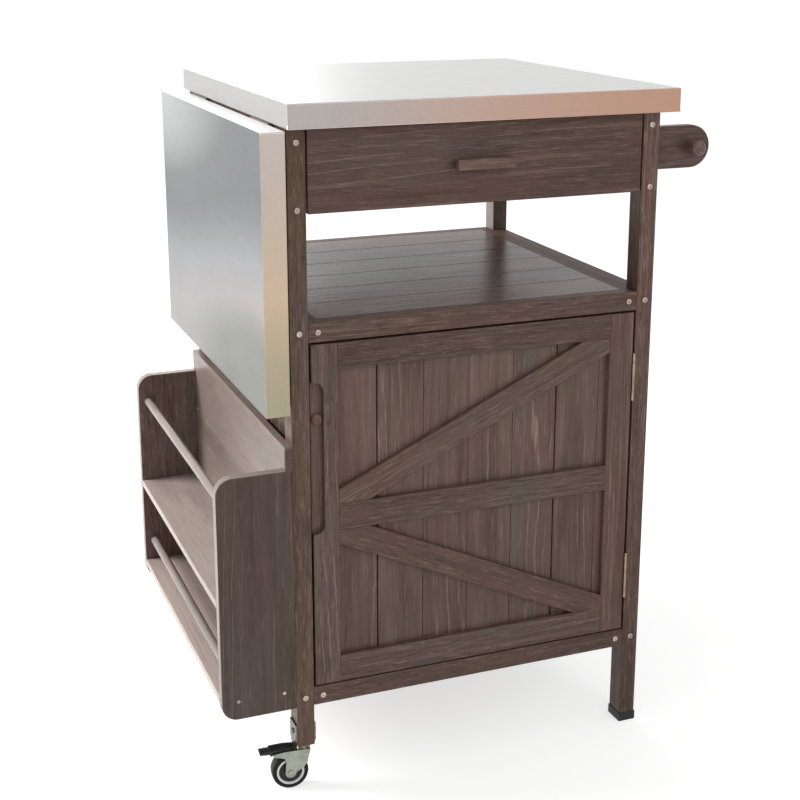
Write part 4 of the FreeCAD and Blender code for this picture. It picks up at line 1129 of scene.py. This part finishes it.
def cross_head(name, sizes):
    """A round screw head with a cross recess."""
    head = round_head(name, sizes, SCREW_SIDES, SCREW_ROUND, SCREW_ROUND_STEPS)
    radius, height = (size * MM for size in sizes)
    cutter = begin("cross_cutter", bpy.ops.mesh.primitive_cube_add, size=1.0)
    bpy.ops.transform.resize(value=(radius * CROSS_LENGTH, radius * CROSS_WIDTH, height))
    bpy.ops.mesh.duplicate()
    bpy.ops.transform.rotate(value=math.pi / 2, orient_axis="Z", center_override=(0.0, 0.0, 0.0))
    bpy.ops.mesh.select_all(action="SELECT")
    shift(z=height * CROSS_RISE)
    leave_edit(cutter)
    apply_modifier(head, "BOOLEAN", object=cutter, operation="DIFFERENCE", solver="EXACT", use_self=True)
    bpy.data.objects.remove(cutter)
    return head


def set_out(head, name, turn, spots):
    """Copies of a head at the given spots, turned to their surface and joined as one piece."""
    made = []
    for spot in spots:
        choose(head)
        bpy.ops.object.duplicate()
        copy = bpy.context.object
        copy.rotation_euler = turn
        copy.location = spot
        made.append(copy)
    choose(*made)
    bpy.ops.object.join()
    made[0].name = made[0].data.name = name
    close(made[0])
    return made[0]


def add_hinge_screws(brassy):
    """Three screws in each leaf of the door's two hinges, the middle one further in."""
    head = cross_head("hinge_screw_pattern", HINGE_SCREW)
    low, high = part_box("door_hinge_door_plates")
    rises = [low.z + rise * MM for rise in HINGE_SCREW_RISES]
    rises += [high.z - rise * MM for rise in reversed(HINGE_SCREW_RISES)]
    for name, body, face_x, turn in (
        ("door_hinge_screws", "door", DOOR_PLATE_FACE, math.pi / 2),
        ("frame_hinge_screws", "cart", FRAME_PLATE_FACE, -math.pi / 2),
    ):
        spots = [(face_x, high.y - depth * MM, z) for z, depth in zip(rises, HINGE_SCREW_DEPTHS * 2)]
        finished(set_out(head, name, (0.0, turn, 0.0), spots), body, "brassy_zinc", brassy)
    bpy.data.objects.remove(head)


def add_pull_screws(zinc):
    """The two screws that hold the pull, on the inner face of the drawer's front."""
    head = cross_head("pull_screw_pattern", PULL_SCREW)
    low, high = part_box("drawer_pull")
    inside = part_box("drawer_front")[1].y
    middle = (low.z + high.z) / 2
    spots = [(x, inside, middle) for x in (low.x + PULL_SCREW_IN * MM, high.x - PULL_SCREW_IN * MM)]
    screws = set_out(head, "drawer_pull_screws", (-math.pi / 2, 0.0, 0.0), spots)
    finished(screws, "drawer", "zinc_plated_steel", zinc)
    bpy.data.objects.remove(head)


def add_door_brads(dark_zinc):
    """The small brads, set almost flush, at both ends of the door's three rails."""
    head = round_head("brad_pattern", BRAD, BRAD_SIDES, BRAD_ROUND, BRAD_ROUND_STEPS)
    low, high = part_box("door_rails")
    ends = [low.x + inset * MM for inset in BRAD_IN]
    ends += [high.x - inset * MM for inset in reversed(BRAD_IN)]
    spots = [(x, low.y, low.z + rise * MM) for rise in BRAD_RISES for x in ends]
    brads = set_out(head, "door_brads", (math.pi / 2, 0.0, 0.0), spots)
    finished(brads, "door", "zinc_plated_steel", dark_zinc)
    bpy.data.objects.remove(head)


def add_camera():
    data = bpy.data.cameras.new("camera")
    data.lens = CAMERA_LENS
    data.sensor_width = CAMERA_SENSOR
    data.shift_x, data.shift_y = CAMERA_SHIFT
    data.clip_end = CAMERA_REACH
    camera = bpy.data.objects.new("camera", data)
    camera.location = CAMERA_PLACE
    camera.rotation_euler = (math.radians(90 - CAMERA_PITCH), 0, math.radians(-CAMERA_YAW))
    bpy.context.scene.collection.objects.link(camera)
    bpy.context.scene.camera = camera


def seen_share(tree):
    """1 for rays from the camera, a mirror or a glass, and 0 for rays that carry light."""
    path = tree.nodes.new("ShaderNodeLightPath")
    total = path.outputs["Is Camera Ray"]
    for name in ("Is Glossy Ray", "Is Transmission Ray"):
        node = tree.nodes.new("ShaderNodeMath")
        node.operation = "MAXIMUM"
        tree.links.new(total, node.inputs[0])
        tree.links.new(path.outputs[name], node.inputs[1])
        total = node.outputs[0]
    return total


def add_floor():
    bpy.ops.mesh.primitive_plane_add(size=FLOOR_SIZE)
    floor = bpy.context.object
    floor.name = "floor"
    sheet = Sheet("floor_paper")
    sheet.set(
        Base_Color=FLOOR_COLOUR,
        Roughness=FLOOR_ROUGH,
        Specular_IOR_Level=FLOOR_SHINE,
        Emission_Color=WHITE,
        Emission_Strength=sheet.maths("MULTIPLY", seen_share(sheet.tree), FLOOR_GLOW),
    )
    floor.data.materials.append(sheet.material)
    floor.select_set(False)


def add_world():
    world = bpy.data.worlds.new("studio")
    bpy.context.scene.world = world
    world.use_nodes = True
    tree = world.node_tree
    background = tree.nodes["Background"]
    background.inputs["Color"].default_value = (*WHITE, 1.0)
    node = tree.nodes.new("ShaderNodeMapRange")
    tree.links.new(seen_share(tree), node.inputs["Value"])
    node.inputs["To Min"].default_value = WORLD_LIGHT
    node.inputs["To Max"].default_value = WORLD_SEEN
    tree.links.new(node.outputs[0], background.inputs["Strength"])


def add_lamps():
    for name, lamp in LAMPS.items():
        data = bpy.data.lights.new(name, "AREA")
        data.shape = "DISK"
        data.size = lamp["size"]
        data.energy = lamp["power"]
        light = bpy.data.objects.new(name, data)
        light.location = lamp["place"]
        aim = Vector(LAMP_AIM) - Vector(lamp["place"])
        light.rotation_euler = aim.to_track_quat("-Z", "Y").to_euler()
        bpy.context.scene.collection.objects.link(light)


finish_wood()
finishes = finish_fittings()
add_tyres(finishes["tyre_rubber"])
add_pedals(finishes["black_plastic"])
add_hems(finishes["satin_steel_worktop_painted_light"], finishes["satin_steel_leaf_painted_reflection"])
add_hinge_screws(finishes["brassy_zinc_plate"])
add_pull_screws(finishes["zinc_plate_screw"])
add_door_brads(finishes["zinc_plate_brad"])
add_floor()
add_world()
add_lamps()
add_camera()
bpy.context.scene.view_settings.view_transform = "Standard"
